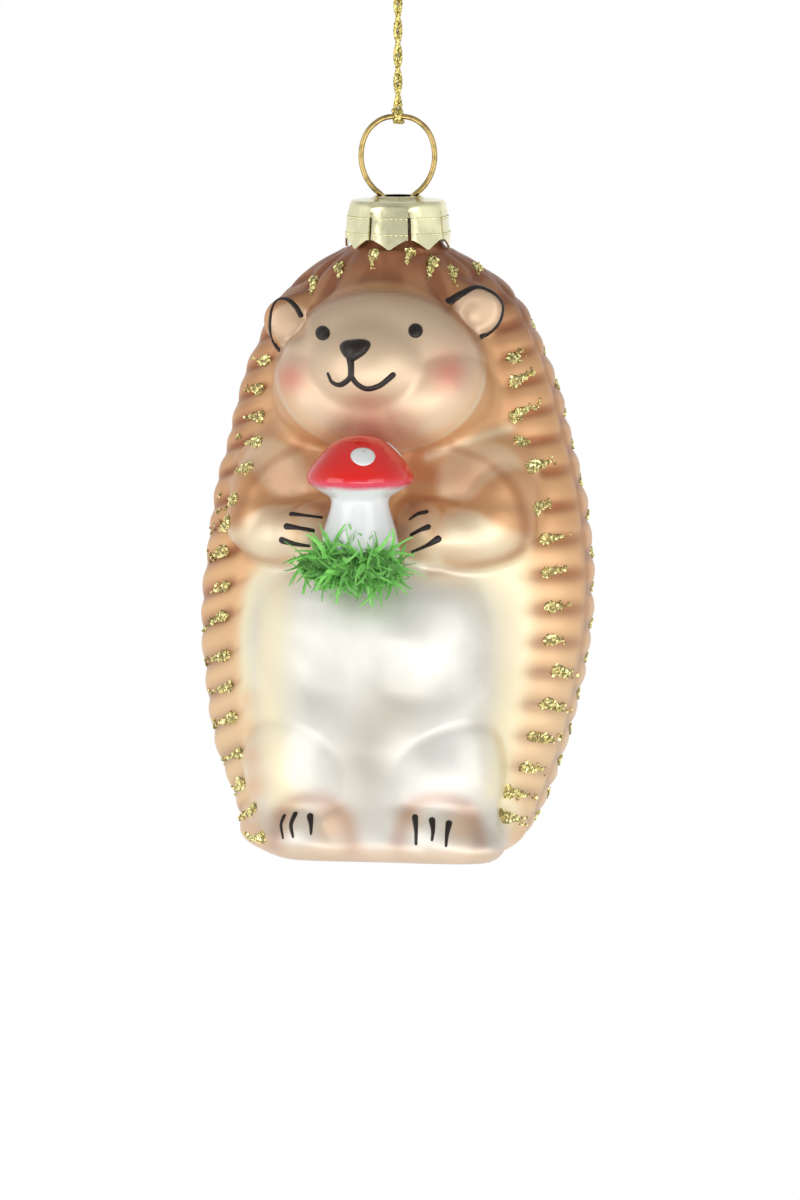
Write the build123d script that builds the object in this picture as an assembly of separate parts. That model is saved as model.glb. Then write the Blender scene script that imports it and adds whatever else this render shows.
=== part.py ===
from build123d import *
import math
import os

# A hanging blown-glass ornament: a hedgehog that holds a toadstool, under a gold crown cap.
# Millimetres. +Z is up, the face looks towards -Y, and +X is on the viewer's right.
# The origin is on the flat base, straight under the middle of the neck.

# Glass figure: the coat of quills, the belly in front of it and the neck on top
shoulder_height = 90.4
coat_width = 59.6
coat_front = 13.0
coat_back = 25.0
belly_width = 47.0
belly_front = 22.5
base_round = 5.0
glass_wall = 1.3
neck_diameter = 12.6
neck_bore = 10.2
neck_height = 6.45
belly_blend = 2.0
base_rounding_step = 22
section_point_count = 72
cavity_section_count = 14

# Quills: shallow ripples that step from column to column, and radiate over the crown
quill_pitch = 4.62
quill_relief = 0.45
quill_fade = 1.5
quill_lap = 0.2
quill_datum = 37.7
quill_column = math.radians(76)
quill_column_step = math.radians(27)
crown_depth = 13.4
crown_full_depth = 8.4
crown_quill_first = math.radians(13)
crown_quill_step = math.radians(20)

# Swellings of the glass: middle, (half width, half depth, half height) and how softly each one joins
head_drop = 17.6
head_height = shoulder_height - head_drop
face_centre = (0, -10.5, head_height)
face_size = (16.0, 10.8, 12.5)
face_blend = 2.5
cheek_centre = (9.3, -12.4, head_height - 3.8)
cheek_size = (7.4, 8.2, 7.6)
cheek_blend = 3.0
muzzle_centre = (0, -20.4, head_height + 1.8)
muzzle_size = (5.6, 6.3, 5.2)
muzzle_blend = 2.5
ear_centre = (15.4, -8.2, head_height + 8.0)
ear_size = (3.8, 3.4, 3.9)
ear_blend = 0.8
arm_centre = (14.8, -13.6, head_height - 21.8)
arm_size = (8.8, 6.0, 8.6)
arm_blend = 1.5
arm_turn = math.radians(33)
hand_centre = (8.4, -17.8, head_height - 23.4)
hand_size = (4.2, 3.6, 4.8)
hand_blend = 1.5
thigh_centre = (9.8, -14.6, 15.4)
thigh_size = (7.6, 7.8, 9.4)
thigh_blend = 3.0
foot_centre = (10.5, -16.2, 2.6)
foot_size = (6.0, 7.6, 5.6)
foot_blend = 1.2

# Crown cap of thin stamped metal, with a raised boss that the wire passes through
cap_thickness = 0.35
cap_top_radius = 7.2
cap_skirt_radius = 8.0
cap_edge_round = 0.7
cap_seat_gap = 0.1
cap_tip_gap = 0.2
cap_tabs = 7
cap_notch_width = 3.4
cap_notch_height = 2.1
cap_slit_width = 0.5
cap_slit_height = 3.6
boss_radius = 3.8
boss_height = 1.0
boss_hole_gap = 0.3

# Hanger: one spring wire, a ring above the cap and two legs in the neck
wire_diameter = 0.8
ring_radius = 5.45
ring_lift = 7.5
ring_yaw = 14.0
ring_opening = math.radians(35)
leg_gap = 4.4
leg_spread = 8.4
leg_depth = 12.8
leg_bend = 1.2
leg_flare_bend = 5.0

# Gold thread: a hitch on the ring, two strands, a knot and an eye above it
thread_diameter = 0.7
hitch_gap = 0.12
hitch_width = 1.7
strand_gap = 0.06
strand_length = 31.0
knot_diameter = 2.6
knot_height = 2.2
eye_width = 4.6
eye_height = 7.4
eye_bend = 1.5

# Toadstool and the tuft of grass at its foot
stool_drop = 27.8
stem_height = 9.6
gill_rise = 2.2
rim_edge = 0.6
dome_rise = 6.8
stool_cap_radius = 8.0
stool_waist_radius = 4.3
stool_foot_radius = 5.8
stool_gap = 0.3
stool_level_count = 48
spot_count = 3
spot_radius = 1.75
spot_thickness = 0.3
spot_tilt = math.radians(37)
tuft_height = 5.0
tuft_width = 17.0
tuft_depth = 9.5
tuft_foot_share = 0.6
tuft_top_share = 0.8
blade_count = 15
blade_length = 6.4
short_blade_length = 4.2
blade_width = 1.3
blade_lean = 0.45
blade_spread = 1.25
glue_radius = 2.4

# Enamel drops and dabs of glitter, with the gap that seats them on the glass
trim_gap = 0.05
eye_half_gap = 7.0
eye_lift = 6.8
eye_drop_radius = 1.15
eye_drop_rise = 0.7
nose_lift = 4.7
nose_radius = 2.05
nose_rise = 1.3
dab_head = 1.9
dab_tail = 3.5
dab_width = 1.9
dab_rise = 0.75
dab_top_share = 0.5
dab_gap = 0.3
dab_rows_down = 7
dab_rows_up = 8
dab_columns = 4
crown_dab_depths = (2.8, 3.4, 4.2)
crown_dab_head = 1.2
crown_dab_tail = 2.2

# Worked out from the sizes above
neck_top = shoulder_height + neck_height
cap_top = neck_top + cap_seat_gap + cap_thickness
ring_centre_height = cap_top + ring_lift
ring_top = ring_centre_height + ring_radius
wire_radius = wire_diameter / 2
thread_radius = thread_diameter / 2
hitch_inner = wire_radius + hitch_gap
hitch_outer = hitch_inner + thread_diameter
strand_foot = ring_top + hitch_outer + strand_gap
strand_head = strand_foot + strand_length
strand_offset = thread_radius + strand_gap / 2
stool_foot = head_height - stool_drop
stool_waist_height = stool_foot + stem_height
stool_rim_height = stool_waist_height + gill_rise + rim_edge
stool_top = stool_rim_height + dome_rise
glue_height = stool_foot + stem_height / 2

LOW = (Align.CENTER, Align.CENTER, Align.MIN)
HIGH = (Align.CENTER, Align.CENTER, Align.MAX)


def smooth_max(first, second, blend):
    """The larger of two values, rounded where they meet."""
    overlap = max(blend - abs(first - second), 0) / blend
    return max(first, second) + overlap * overlap * blend / 4


def smooth_step(low, high, value):
    """0 below low, 1 above high and a soft step between them."""
    share = min(max((value - low) / (high - low), 0), 1)
    return share * share * (3 - 2 * share)


def curve_through(points, at):
    """A smooth curve through a few hand-set points, flat at its peaks."""
    spans = list(zip(points, points[1:]))
    slopes = [(b[1] - a[1]) / (b[0] - a[0]) for a, b in spans]
    bends = [slopes[0]]
    for before, after in zip(slopes, slopes[1:]):
        same_way = before * after > 0
        bends.append(2 * before * after / (before + after) if same_way else 0)
    bends.append(slopes[-1])
    at = min(max(at, points[0][0]), points[-1][0])
    index = max(i for i, span in enumerate(spans) if i == 0 or span[0][0] <= at)
    (x0, y0), (x1, y1) = spans[index]
    width = x1 - x0
    t = (at - x0) / width
    rise = (y1 - y0) * t * t * (3 - 2 * t)
    swing = bends[index] * t * (1 - t) ** 2 - bends[index + 1] * t * t * (1 - t)
    return y0 + rise + width * swing


# Outlines as shares: the share of the shoulder's height, and the share of the full size there
side_outline = [
    (0, 0.748), (0.08, 0.797), (0.23, 0.934), (0.41, 1.0), (0.58, 0.952), (0.69, 0.872),
    (0.785, 0.797), (0.857, 0.708), (0.907, 0.634), (0.957, 0.488), (0.982, 0.378), (1.0, 0.275),
]
front_outline = [
    (0, 0.95), (0.09, 0.925), (0.18, 0.91), (0.29, 1.0), (0.37, 1.0), (0.43, 0.93),
    (0.5, 0.76), (0.55, 0.70), (0.61, 0.655), (0.67, 0.655), (0.78, 0.66), (0.9, 0.54), (1.0, 0.35),
]


def oval(angle, half_width, half_depth):
    """How far an oval reaches from its middle; angle 0 looks to the front."""
    return 1 / math.hypot(math.sin(angle) / half_width, math.cos(angle) / half_depth)


def coat_reach(angle, height):
    """How far the coat of quills reaches from the neck's axis."""
    swell = curve_through(side_outline, height / shoulder_height)
    depth = coat_front if math.cos(angle) > 0 else coat_back
    return oval(angle, swell * coat_width / 2, swell * depth)


def belly_reach(angle, height):
    """How far the belly and chest reach in front of the coat."""
    share = height / shoulder_height
    half_width = belly_width / 2 * curve_through(side_outline, share)
    depth = belly_front * curve_through(front_outline, share)
    if math.cos(angle) <= 0:
        return 0.0
    return oval(angle, half_width, depth)


def swelling_reach(angle, height, centre, size, turn=0.0):
    """How far an ellipsoid reaches from the neck's axis, along one level ray."""
    along = (math.sin(angle), -math.cos(angle))
    ray = (
        (along[0] * math.cos(turn) + along[1] * math.sin(turn)) / size[0],
        (along[1] * math.cos(turn) - along[0] * math.sin(turn)) / size[1],
    )
    middle = (
        (centre[0] * math.cos(turn) + centre[1] * math.sin(turn)) / size[0],
        (centre[1] * math.cos(turn) - centre[0] * math.sin(turn)) / size[1],
    )
    level = (height - centre[2]) / size[2]
    a = ray[0] ** 2 + ray[1] ** 2
    b = ray[0] * middle[0] + ray[1] * middle[1]
    c = middle[0] ** 2 + middle[1] ** 2 + level ** 2 - 1
    inside = b * b - a * c
    return (b + math.copysign(math.sqrt(abs(inside)), inside)) / a


def both_sides(centre, size, blend, turn=0.0):
    """A swelling on the right and its mirror image on the left."""
    x, y, z = centre
    return [((x, y, z), size, turn, blend), ((-x, y, z), size, -turn, blend)]


main_swellings = [(face_centre, face_size, 0.0, face_blend)]
small_swellings = [
    *both_sides(cheek_centre, cheek_size, cheek_blend),
    (muzzle_centre, muzzle_size, 0.0, muzzle_blend),
    *both_sides(ear_centre, ear_size, ear_blend),
    *both_sides(arm_centre, arm_size, arm_blend, arm_turn),
    *both_sides(hand_centre, hand_size, hand_blend),
    *both_sides(thigh_centre, thigh_size, thigh_blend),
    *both_sides(foot_centre, foot_size, foot_blend),
]


def crown_turn(angle):
    """The angle as it runs evenly round the flat oval of the crown."""
    depth = coat_front if math.cos(angle) > 0 else coat_back
    return math.atan2(math.sin(angle) * depth, math.cos(angle) * coat_width / 2)


def quill_ripple(angle, height):
    """Ridges level with the ground on the sides, and radiating on the crown."""
    wave = math.cos(2 * math.pi * (height - quill_datum) / quill_pitch)
    column = math.cos(math.pi * (abs(angle) - quill_column) / quill_column_step)
    seam = smooth_step(0, quill_column_step / 2, math.pi - abs(angle))
    side = wave * column * seam * math.copysign(1, angle)
    turn = abs(crown_turn(angle)) - crown_quill_first
    crown = math.cos(2 * math.pi * turn / crown_quill_step)
    share = smooth_step(-crown_depth, -crown_full_depth, height - shoulder_height)
    base_fade = smooth_step(0, 2 * base_round, height)
    top_fade = smooth_step(0, quill_pitch, shoulder_height - height)
    return quill_relief * base_fade * top_fade * (side * (1 - share) + crown * share)


def base_inset(height):
    """How much the rounded edge of the base draws the wall in."""
    share = min(height / base_round, 1)
    return base_round * (1 - math.sqrt(1 - (1 - share) ** 2))


def core_reach(angle, height):
    """The figure's main masses, without quills, limbs or muzzle."""
    reach = smooth_max(coat_reach(angle, height), belly_reach(angle, height), belly_blend)
    for centre, size, turn, blend in main_swellings:
        reach = smooth_max(reach, swelling_reach(angle, height, centre, size, turn), blend)
    return reach


def glass_reach(angle, height):
    """How far the outside of the glass reaches from the neck's axis."""
    reach = core_reach(angle, height)
    for centre, size, turn, blend in small_swellings:
        if centre[0] * angle >= 0:
            reach = smooth_max(reach, swelling_reach(angle, height, centre, size, turn), blend)
    bare_coat = smooth_step(-quill_fade, quill_lap, coat_reach(angle, height) - reach)
    return reach + bare_coat * quill_ripple(angle, height) - base_inset(height)


def cavity_reach(angle, height):
    """How far the hollow inside reaches, one wall within the main masses."""
    outside = min(core_reach(angle, height), core_reach(angle, height + glass_wall))
    return outside - glass_wall - quill_relief - base_inset(height - glass_wall)


def polar_point(angle, height, reach):
    return Vector(reach * math.sin(angle), -reach * math.cos(angle), height)


def glass_point(angle, height):
    return polar_point(angle, height, glass_reach(angle, height))


def section(height, reach, count):
    """One closed level section of the glass."""
    angles = [math.pi * (2 * i / count - 1) for i in range(count)]
    points = [polar_point(a, height, reach(a, height)) for a in angles]
    return Wire(Edge.make_spline(points, periodic=True))


def glass_heights():
    """Levels of the sections: fine at the base, then two for each quill."""
    turns = range(0, 90 - base_rounding_step, base_rounding_step)
    rounding = [base_round * (1 - math.cos(math.radians(turn))) for turn in turns]
    half = quill_pitch / 2
    first = math.ceil((base_round - quill_datum) / half)
    last = math.floor((shoulder_height - quill_datum) / half - 0.5)
    return rounding + [quill_datum + half * k for k in range(first, last + 1)] + [shoulder_height]


section_levels = glass_heights()


def wall_reach(angle, height):
    """How far the wall reaches as it is built, straight between the two nearest sections."""
    above = next((i for i, level in enumerate(section_levels) if level > height), len(section_levels) - 1)
    low, high = section_levels[max(above, 1) - 1], section_levels[max(above, 1)]
    share = (height - low) / (high - low)
    straight = glass_reach(angle, low) * (1 - share) + glass_reach(angle, high) * share
    return max(straight, glass_reach(angle, height))


def make_glass_body():
    """A hollow blown shell, ruled from level to level, with an open neck on top."""
    outer = Solid.make_loft([section(h, glass_reach, section_point_count) for h in section_levels], True)
    floor = glass_wall
    ceiling = shoulder_height - glass_wall
    rise = (ceiling - floor) / cavity_section_count
    levels = [floor + rise * i for i in range(cavity_section_count + 1)]
    levels.insert(1, floor + base_round / 4)
    cavity = Solid.make_loft([section(h, cavity_reach, section_point_count // 2) for h in levels], True)
    neck = Pos(0, 0, ceiling) * Cylinder(neck_diameter / 2, neck_top - ceiling, align=LOW)
    bore_foot = ceiling - glass_wall
    bore = Pos(0, 0, bore_foot) * Cylinder(neck_bore / 2, neck_top + glass_wall - bore_foot, align=LOW)
    return outer + neck - cavity - bore


def make_cap():
    """A stamped crown: a disc with a boss, and a skirt cut into pointed tabs."""
    tip = shoulder_height + cap_tip_gap

    def bell(shrink):
        top = cap_top - shrink
        side_top = cap_top_radius - shrink
        side_foot = cap_skirt_radius - shrink
        profile = Polyline((0, tip), (side_foot, tip), (side_top, top), (0, top), close=True)
        face = make_face(Plane.XZ * profile)
        return revolve(face, Axis.Z)

    shell = bell(0)
    edges = shell.edges().filter_by(GeomType.CIRCLE).group_by(Axis.Z)[-1]
    shell = fillet(edges, cap_edge_round) - bell(cap_thickness)
    disc_foot = Pos(0, 0, cap_top - cap_thickness)
    boss = disc_foot * Cylinder(boss_radius, boss_height + cap_thickness, align=LOW)
    hollow = disc_foot * Cylinder(boss_radius - cap_thickness, boss_height, align=LOW)
    hole_radius = leg_gap / 2 + wire_radius + boss_hole_gap
    hole = Pos(0, 0, cap_top) * Cylinder(hole_radius, boss_height + cap_thickness, align=LOW)
    cap = shell + boss - hollow - hole
    outline = [
        (-cap_notch_width / 2, 0), (cap_notch_width / 2, 0), (cap_slit_width / 2, cap_notch_height),
        (cap_slit_width / 2, cap_slit_height), (-cap_slit_width / 2, cap_slit_height),
        (-cap_slit_width / 2, cap_notch_height),
    ]
    notch_face = make_face(Plane.XZ * Polyline(*outline, close=True))
    reach = cap_skirt_radius + cap_thickness
    notch = Pos(0, 0, tip) * extrude(notch_face, reach, dir=(0, -1, 0))
    for i in range(cap_tabs):
        cap -= Rot(0, 0, (i + 0.5) * 360 / cap_tabs) * notch
    return cap


def make_hanger_wire():
    """A ring whose ends bend down through the cap and flare out inside the neck."""
    end_x = ring_radius * math.sin(ring_opening)
    end_z = ring_centre_height - ring_radius * math.cos(ring_opening)
    arc = ThreePointArc((-end_x, end_z), (0, ring_top), (end_x, end_z))
    corner_z = end_z - (end_x - leg_gap / 2) * math.tan(ring_opening)
    legs = []
    for side in (-1, 1):
        route = [
            (side * end_x, end_z), (side * leg_gap / 2, corner_z), (side * leg_gap / 2, neck_top),
            (side * leg_spread / 2, neck_top - leg_depth),
        ]
        legs.append(FilletPolyline(*route, radius=[leg_bend, leg_flare_bend]))
    path = Plane.XZ * Wire([*legs[0].edges(), *arc.edges(), *legs[1].edges()])
    wire = sweep(Plane(path @ 0, z_dir=path % 0) * Circle(wire_radius), path=path)
    return Rot(0, 0, ring_yaw) * wire


def make_thread():
    """The hitch, two strands, the knot and the eye, upright over the ring's top."""
    turn = Rot(0, 0, ring_yaw)
    half = hitch_width / 2
    round_off = half / 4
    dip = hitch_outer - thread_radius / 2
    rim = hitch_outer - thread_radius
    profile = [
        (-half, hitch_inner), (half, hitch_inner), (half, rim), (half - round_off, hitch_outer),
        (round_off, hitch_outer), (0, dip), (-round_off, hitch_outer),
        (round_off - half, hitch_outer), (-half, rim),
    ]
    hitch_face = make_face(Plane.XZ * Polyline(*profile, close=True))
    hitch = Pos(0, 0, ring_top) * revolve(hitch_face, Axis.X)
    strand = Pos(0, 0, strand_foot) * Cylinder(thread_radius, strand_length, align=LOW)
    knot_middle = strand_head + strand_gap + knot_height / 2
    knot = Pos(0, 0, knot_middle) * Sphere(knot_diameter / 2)
    knot = knot & Pos(0, 0, knot_middle) * Box(knot_diameter, knot_diameter, knot_height)
    eye_foot = knot_middle + knot_height / 2 + strand_gap
    eye_half = eye_width / 2
    route = [
        (-thread_diameter, eye_foot), (-eye_half, eye_foot + eye_height), (eye_half, eye_foot + eye_height),
        (thread_diameter, eye_foot),
    ]
    path = Plane.XZ * FilletPolyline(*route, radius=eye_bend)
    eye = sweep(Plane(path @ 0, z_dir=path % 0) * Circle(thread_radius), path=path)
    eye -= Pos(0, 0, eye_foot) * Box(eye_width, eye_width, thread_diameter, align=HIGH)
    return {
        "thread_hitch": turn * hitch,
        "thread_left": turn * Pos(-strand_offset, 0, 0) * strand,
        "thread_right": turn * Pos(strand_offset, 0, 0) * strand,
        "thread_knot": turn * knot,
        "thread_eye": turn * eye,
    }


def deepest_reach(low, high):
    """How far the glass stands out on its front middle line between two heights."""
    steps = 12
    return max(glass_reach(0, low + (high - low) * i / steps) for i in range(steps + 1))


def stool_reach(height):
    """The toadstool's radius at a height."""
    if height > stool_rim_height:
        ball = (stool_cap_radius ** 2 + dome_rise ** 2) / (2 * dome_rise)
        return math.sqrt(max(ball ** 2 - (height - stool_top + ball) ** 2, 0))
    if height > stool_waist_height:
        return stool_cap_radius
    share = (height - stool_foot) / stem_height
    return stool_foot_radius + (stool_waist_radius - stool_foot_radius) * share


stool_step = (stool_top - stool_foot) / stool_level_count
stool_levels = [stool_foot + stool_step * i for i in range(stool_level_count + 1)]
stool_axis = -(max(glass_reach(0, level) + stool_reach(level) for level in stool_levels) + stool_gap)
tuft_foot = stool_foot - tuft_height
tuft_middle = -(deepest_reach(tuft_foot, stool_foot) + stool_gap + tuft_depth / 2)


def dome(radius, foot, rise):
    """Half the outline of a round dome, from its rim to its top."""
    ball = (radius * radius + rise * rise) / (2 * rise)
    return RadiusArc((radius, foot), (0, foot + rise), -ball)


def make_mushroom():
    """A turned toadstool: a stem with a waist, a funnel of gills and a domed cap."""
    gill_foot = (stool_cap_radius, stool_rim_height - rim_edge)
    outline = [
        Line((0, stool_foot), (stool_foot_radius, stool_foot)),
        Line((stool_foot_radius, stool_foot), (stool_waist_radius, stool_waist_height)),
        Line((stool_waist_radius, stool_waist_height), gill_foot),
        Line(gill_foot, (stool_cap_radius, stool_rim_height)),
        dome(stool_cap_radius, stool_rim_height, dome_rise),
        Line((0, stool_top), (0, stool_foot)),
    ]
    turned = revolve(make_face(Plane.XZ * Wire(outline)), Axis.Z)
    return Pos(0, stool_axis, 0) * turned


def make_mushroom_spots():
    """Thin round spots that follow the dome of the cap."""

    def solid_dome(raise_by):
        radius = stool_cap_radius + raise_by
        top = stool_top + raise_by
        outline = [
            dome(radius, stool_rim_height, dome_rise + raise_by),
            Line((0, top), (0, stool_rim_height)),
            Line((0, stool_rim_height), (radius, stool_rim_height)),
        ]
        return revolve(make_face(Plane.XZ * Wire(outline)), Axis.Z)

    layer = solid_dome(trim_gap + spot_thickness) - solid_dome(trim_gap)
    reach = stool_cap_radius + stool_top
    lean = Pos(0, 0, stool_rim_height) * Rot(math.degrees(spot_tilt), 0, 0)
    drill = lean * Cylinder(spot_radius, reach, align=LOW)
    spots = [layer & Rot(0, 0, i * 360 / spot_count) * drill for i in range(spot_count)]
    return Pos(0, stool_axis, 0) * Compound([solid for spot in spots for solid in spot.solids()])


def make_grass_tuft():
    """A squat mound with a flat top for the toadstool, and blades round its front."""
    shares = [(0, tuft_foot_share), (0.5, 1.0), (1.0, tuft_top_share)]
    rings = []
    for rise, share in shares:
        level = Plane((0, tuft_middle, tuft_foot + (tuft_height - trim_gap) * rise))
        rings.append((level * Ellipse(tuft_width / 2 * share, tuft_depth / 2 * share)).wire())
    tuft = Solid.make_loft(rings, True)
    for i in range(blade_count):
        turn = math.pi * (i / (blade_count - 1) - 0.5) * blade_spread
        outward = Vector(math.sin(turn), -math.cos(turn), 0)
        across = Vector(math.cos(turn), math.sin(turn), 0)
        root = Vector(tuft_width / 2 * math.sin(turn), -tuft_depth / 2 * math.cos(turn), 0) * tuft_top_share
        foot = Vector(0, tuft_middle, tuft_foot + tuft_height / 2) + root
        height = short_blade_length if i % 3 == 1 else blade_length
        sway = across * (blade_width * (i % 2 - 0.5))
        tip = foot + outward * (blade_lean * height) + Vector(0, 0, height) + sway
        tuft += blade(foot, across * (blade_width / 2), outward * (blade_width / 4), tip)
    return tuft


def flat_sided(outlines):
    """A closed solid from the outlines of its flat sides."""
    return Solid(Shell([Face(Wire.make_polygon(outline)) for outline in outlines]))


def blade(foot, across, outward, tip):
    """A thin blade with a three-sided foot that runs to a point."""
    left, right, front = foot - across, foot + across, foot + outward
    return flat_sided([(left, right, tip), (right, front, tip), (front, left, tip), (left, right, front)])


def make_glue_pad():
    """The dab of glue between the chest and the toadstool's stem."""
    back = -(deepest_reach(glue_height - glue_radius, glue_height + glue_radius) + trim_gap)
    front = stool_axis + stool_reach(glue_height - glue_radius) + trim_gap
    return Plane((0, back, glue_height), z_dir=(0, -1, 0)) * Cylinder(glue_radius, back - front, align=LOW)


def glass_plane(angle, height, upright=False):
    """A plane that touches the glass, with X towards the back, or upwards."""
    step = 0.02
    middle = glass_point(angle, height)
    around = glass_point(angle + step, height) - glass_point(angle - step, height)
    up = glass_point(angle, height + step) - glass_point(angle, height - step)
    normal = around.cross(up).normalized()
    along = up if upright else around * math.copysign(1, angle)
    return Plane(middle, x_dir=along, z_dir=normal)


def lift_clear(plane, spots, gap):
    """Raises a plane until the flat foot drawn on it clears the glass."""
    sink = 0.0
    for x, y in spots:
        spot = plane.from_local_coords(Vector(x, y, 0))
        reach = wall_reach(math.atan2(spot.X, -spot.Y), spot.Z)
        sink = max(sink, reach - math.hypot(spot.X, spot.Y))
    return plane.offset(sink + gap)


def make_dab(angle, height, head, tail, upright=False):
    """One dab of glitter: a blunt head in front and a tail that runs back."""
    half = dab_width / 2
    foot = [(-head, -half / 2), (0, -half), (tail, 0), (0, half), (-head, half / 2)]
    spots = []
    for (x0, y0), (x1, y1) in zip(foot, foot[1:] + foot[:1]):
        for along in (0, 0.25, 0.5, 0.75):
            x, y = x0 + (x1 - x0) * along, y0 + (y1 - y0) * along
            spots += [(x * share, y * share) for share in (0, 0.35, 0.7, 1)]
    plane = lift_clear(glass_plane(angle, height, upright), spots, dab_gap)
    top = [(x * dab_top_share, y * dab_top_share) for x, y in foot]
    low = [plane.from_local_coords(Vector(x, y, 0)) for x, y in foot]
    high = [plane.from_local_coords(Vector(x, y, dab_rise)) for x, y in top]
    count = len(foot)
    sides = [(low[i - 1], low[i], high[i], high[i - 1]) for i in range(count)]
    return flat_sided([low, high, *sides])


def make_glitter():
    """Dabs on the quills, in columns that step by half a quill, and round the crown."""
    groups = {"glitter_right": [], "glitter_left": [], "glitter_back": [], "glitter_crown": []}
    for side, name in ((1, "glitter_right"), (-1, "glitter_left")):
        for column in range(dab_columns):
            group = groups[name if column < 2 else "glitter_back"]
            shift = 0 if (column % 2 == 0) == (side > 0) else quill_pitch / 2
            for row in range(-dab_rows_down, dab_rows_up):
                angle = side * (quill_column + column * quill_column_step)
                height = quill_datum + shift + row * quill_pitch
                group.append(make_dab(angle, height, dab_head, dab_tail))
        for i, depth in enumerate(crown_dab_depths):
            turn = crown_quill_first + i * crown_quill_step
            angle = math.atan2(math.sin(turn) * coat_width / 2, math.cos(turn) * coat_front)
            height = shoulder_height - depth
            dab = make_dab(side * angle, height, crown_dab_head, crown_dab_tail, True)
            groups["glitter_crown"].append(dab)
    return {name: Compound(dabs) for name, dabs in groups.items()}


def enamel_drop(angle, height, radius, rise):
    """A low round drop of enamel on the glass."""
    spots = [(x * radius, y * radius) for x in (-1, 0, 1) for y in (-1, 0, 1) if x * y == 0]
    plane = lift_clear(glass_plane(angle, height), spots, trim_gap)
    outline = [dome(radius, 0, rise), Line((0, rise), (0, 0)), Line((0, 0), (radius, 0))]
    return plane * revolve(make_face(Plane.XZ * Wire(outline)), Axis.Z)


def make_eyes():
    """Two drops, set apart by their true width across the curved face."""
    height = head_height + eye_lift
    reach = glass_reach(0, height)
    for _ in range(8):
        angle = math.asin(eye_half_gap / reach)
        reach = glass_reach(angle, height)
    return Compound([enamel_drop(side * angle, height, eye_drop_radius, eye_drop_rise) for side in (-1, 1)])


parts = {
    "glass_body": make_glass_body(),
    "cap": make_cap(),
    "hanger_wire": make_hanger_wire(),
    **make_thread(),
    "mushroom": make_mushroom(),
    "mushroom_spots": make_mushroom_spots(),
    "grass_tuft": make_grass_tuft(),
    "glue_pad": make_glue_pad(),
    "eyes": make_eyes(),
    "nose": enamel_drop(0, head_height + nose_lift, nose_radius, nose_rise),
    **make_glitter(),
}

os.makedirs("parts", exist_ok=True)
for name, shape in parts.items():
    export_step(shape, f"parts/{name}.step")
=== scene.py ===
import math

import bpy
import numpy as np
from bpy.props import FloatProperty, FloatVectorProperty, IntProperty, PointerProperty
from mathutils import Matrix, Vector
from mathutils.bvhtree import BVHTree


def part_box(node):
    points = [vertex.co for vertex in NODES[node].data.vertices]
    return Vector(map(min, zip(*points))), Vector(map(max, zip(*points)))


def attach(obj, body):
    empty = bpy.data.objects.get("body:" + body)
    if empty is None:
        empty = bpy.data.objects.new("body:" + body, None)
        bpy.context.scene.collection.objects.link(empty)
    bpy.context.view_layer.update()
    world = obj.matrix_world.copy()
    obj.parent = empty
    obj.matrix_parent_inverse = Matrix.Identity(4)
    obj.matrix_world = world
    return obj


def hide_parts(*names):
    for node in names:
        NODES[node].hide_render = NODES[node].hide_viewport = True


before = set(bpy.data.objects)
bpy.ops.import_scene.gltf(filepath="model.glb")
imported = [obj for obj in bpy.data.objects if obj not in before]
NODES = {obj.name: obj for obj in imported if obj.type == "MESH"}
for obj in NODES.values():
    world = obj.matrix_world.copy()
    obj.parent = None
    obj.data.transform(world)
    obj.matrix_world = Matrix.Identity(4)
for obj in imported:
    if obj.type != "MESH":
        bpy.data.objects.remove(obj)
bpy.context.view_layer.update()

bl_info = {
    "name": "Hanging Hedgehog Ornament",
    "version": (1, 0, 0),
    "blender": (4, 5, 0),
    "location": "3D View > Sidebar > Ornament",
    "description": "Dresses the glass hedgehog with paint, glitter, toadstool, crown cap and thread",
    "category": "Object",
}

# The frame is in metres; shapes are worked out in millimetres and scaled once, in add_piece
MM = 0.001

# The picture's size and the camera's place, from which a pixel of the photograph becomes a ray
PICTURE = (800, 1200)
VIEW_AZIMUTH = math.radians(14)
VIEW_ELEVATION = math.radians(5)
PIXEL = 0.15
TARGET = np.array((0.3, 0.1, 37.6))
DISTANCE = 2400.0
AXIS_PIXEL = 398
SENSOR = 36.0


def length(name, description, millimetres):
    """A length that a user may change, kept in metres."""
    return FloatProperty(
        name=name, description=description, default=millimetres * MM, min=0, unit="LENGTH", precision=5)


def colour(name, description, red, green, blue):
    """A colour that a user may change, given as it looks on a screen and kept as linear light."""
    shares = [value / 255 for value in (red, green, blue)]
    linear = [s / 12.92 if s <= 0.04045 else ((s + 0.055) / 1.055) ** 2.4 for s in shares]
    return FloatVectorProperty(
        name=name, description=description, default=linear, min=0, max=1, size=3, subtype="COLOR")


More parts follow.
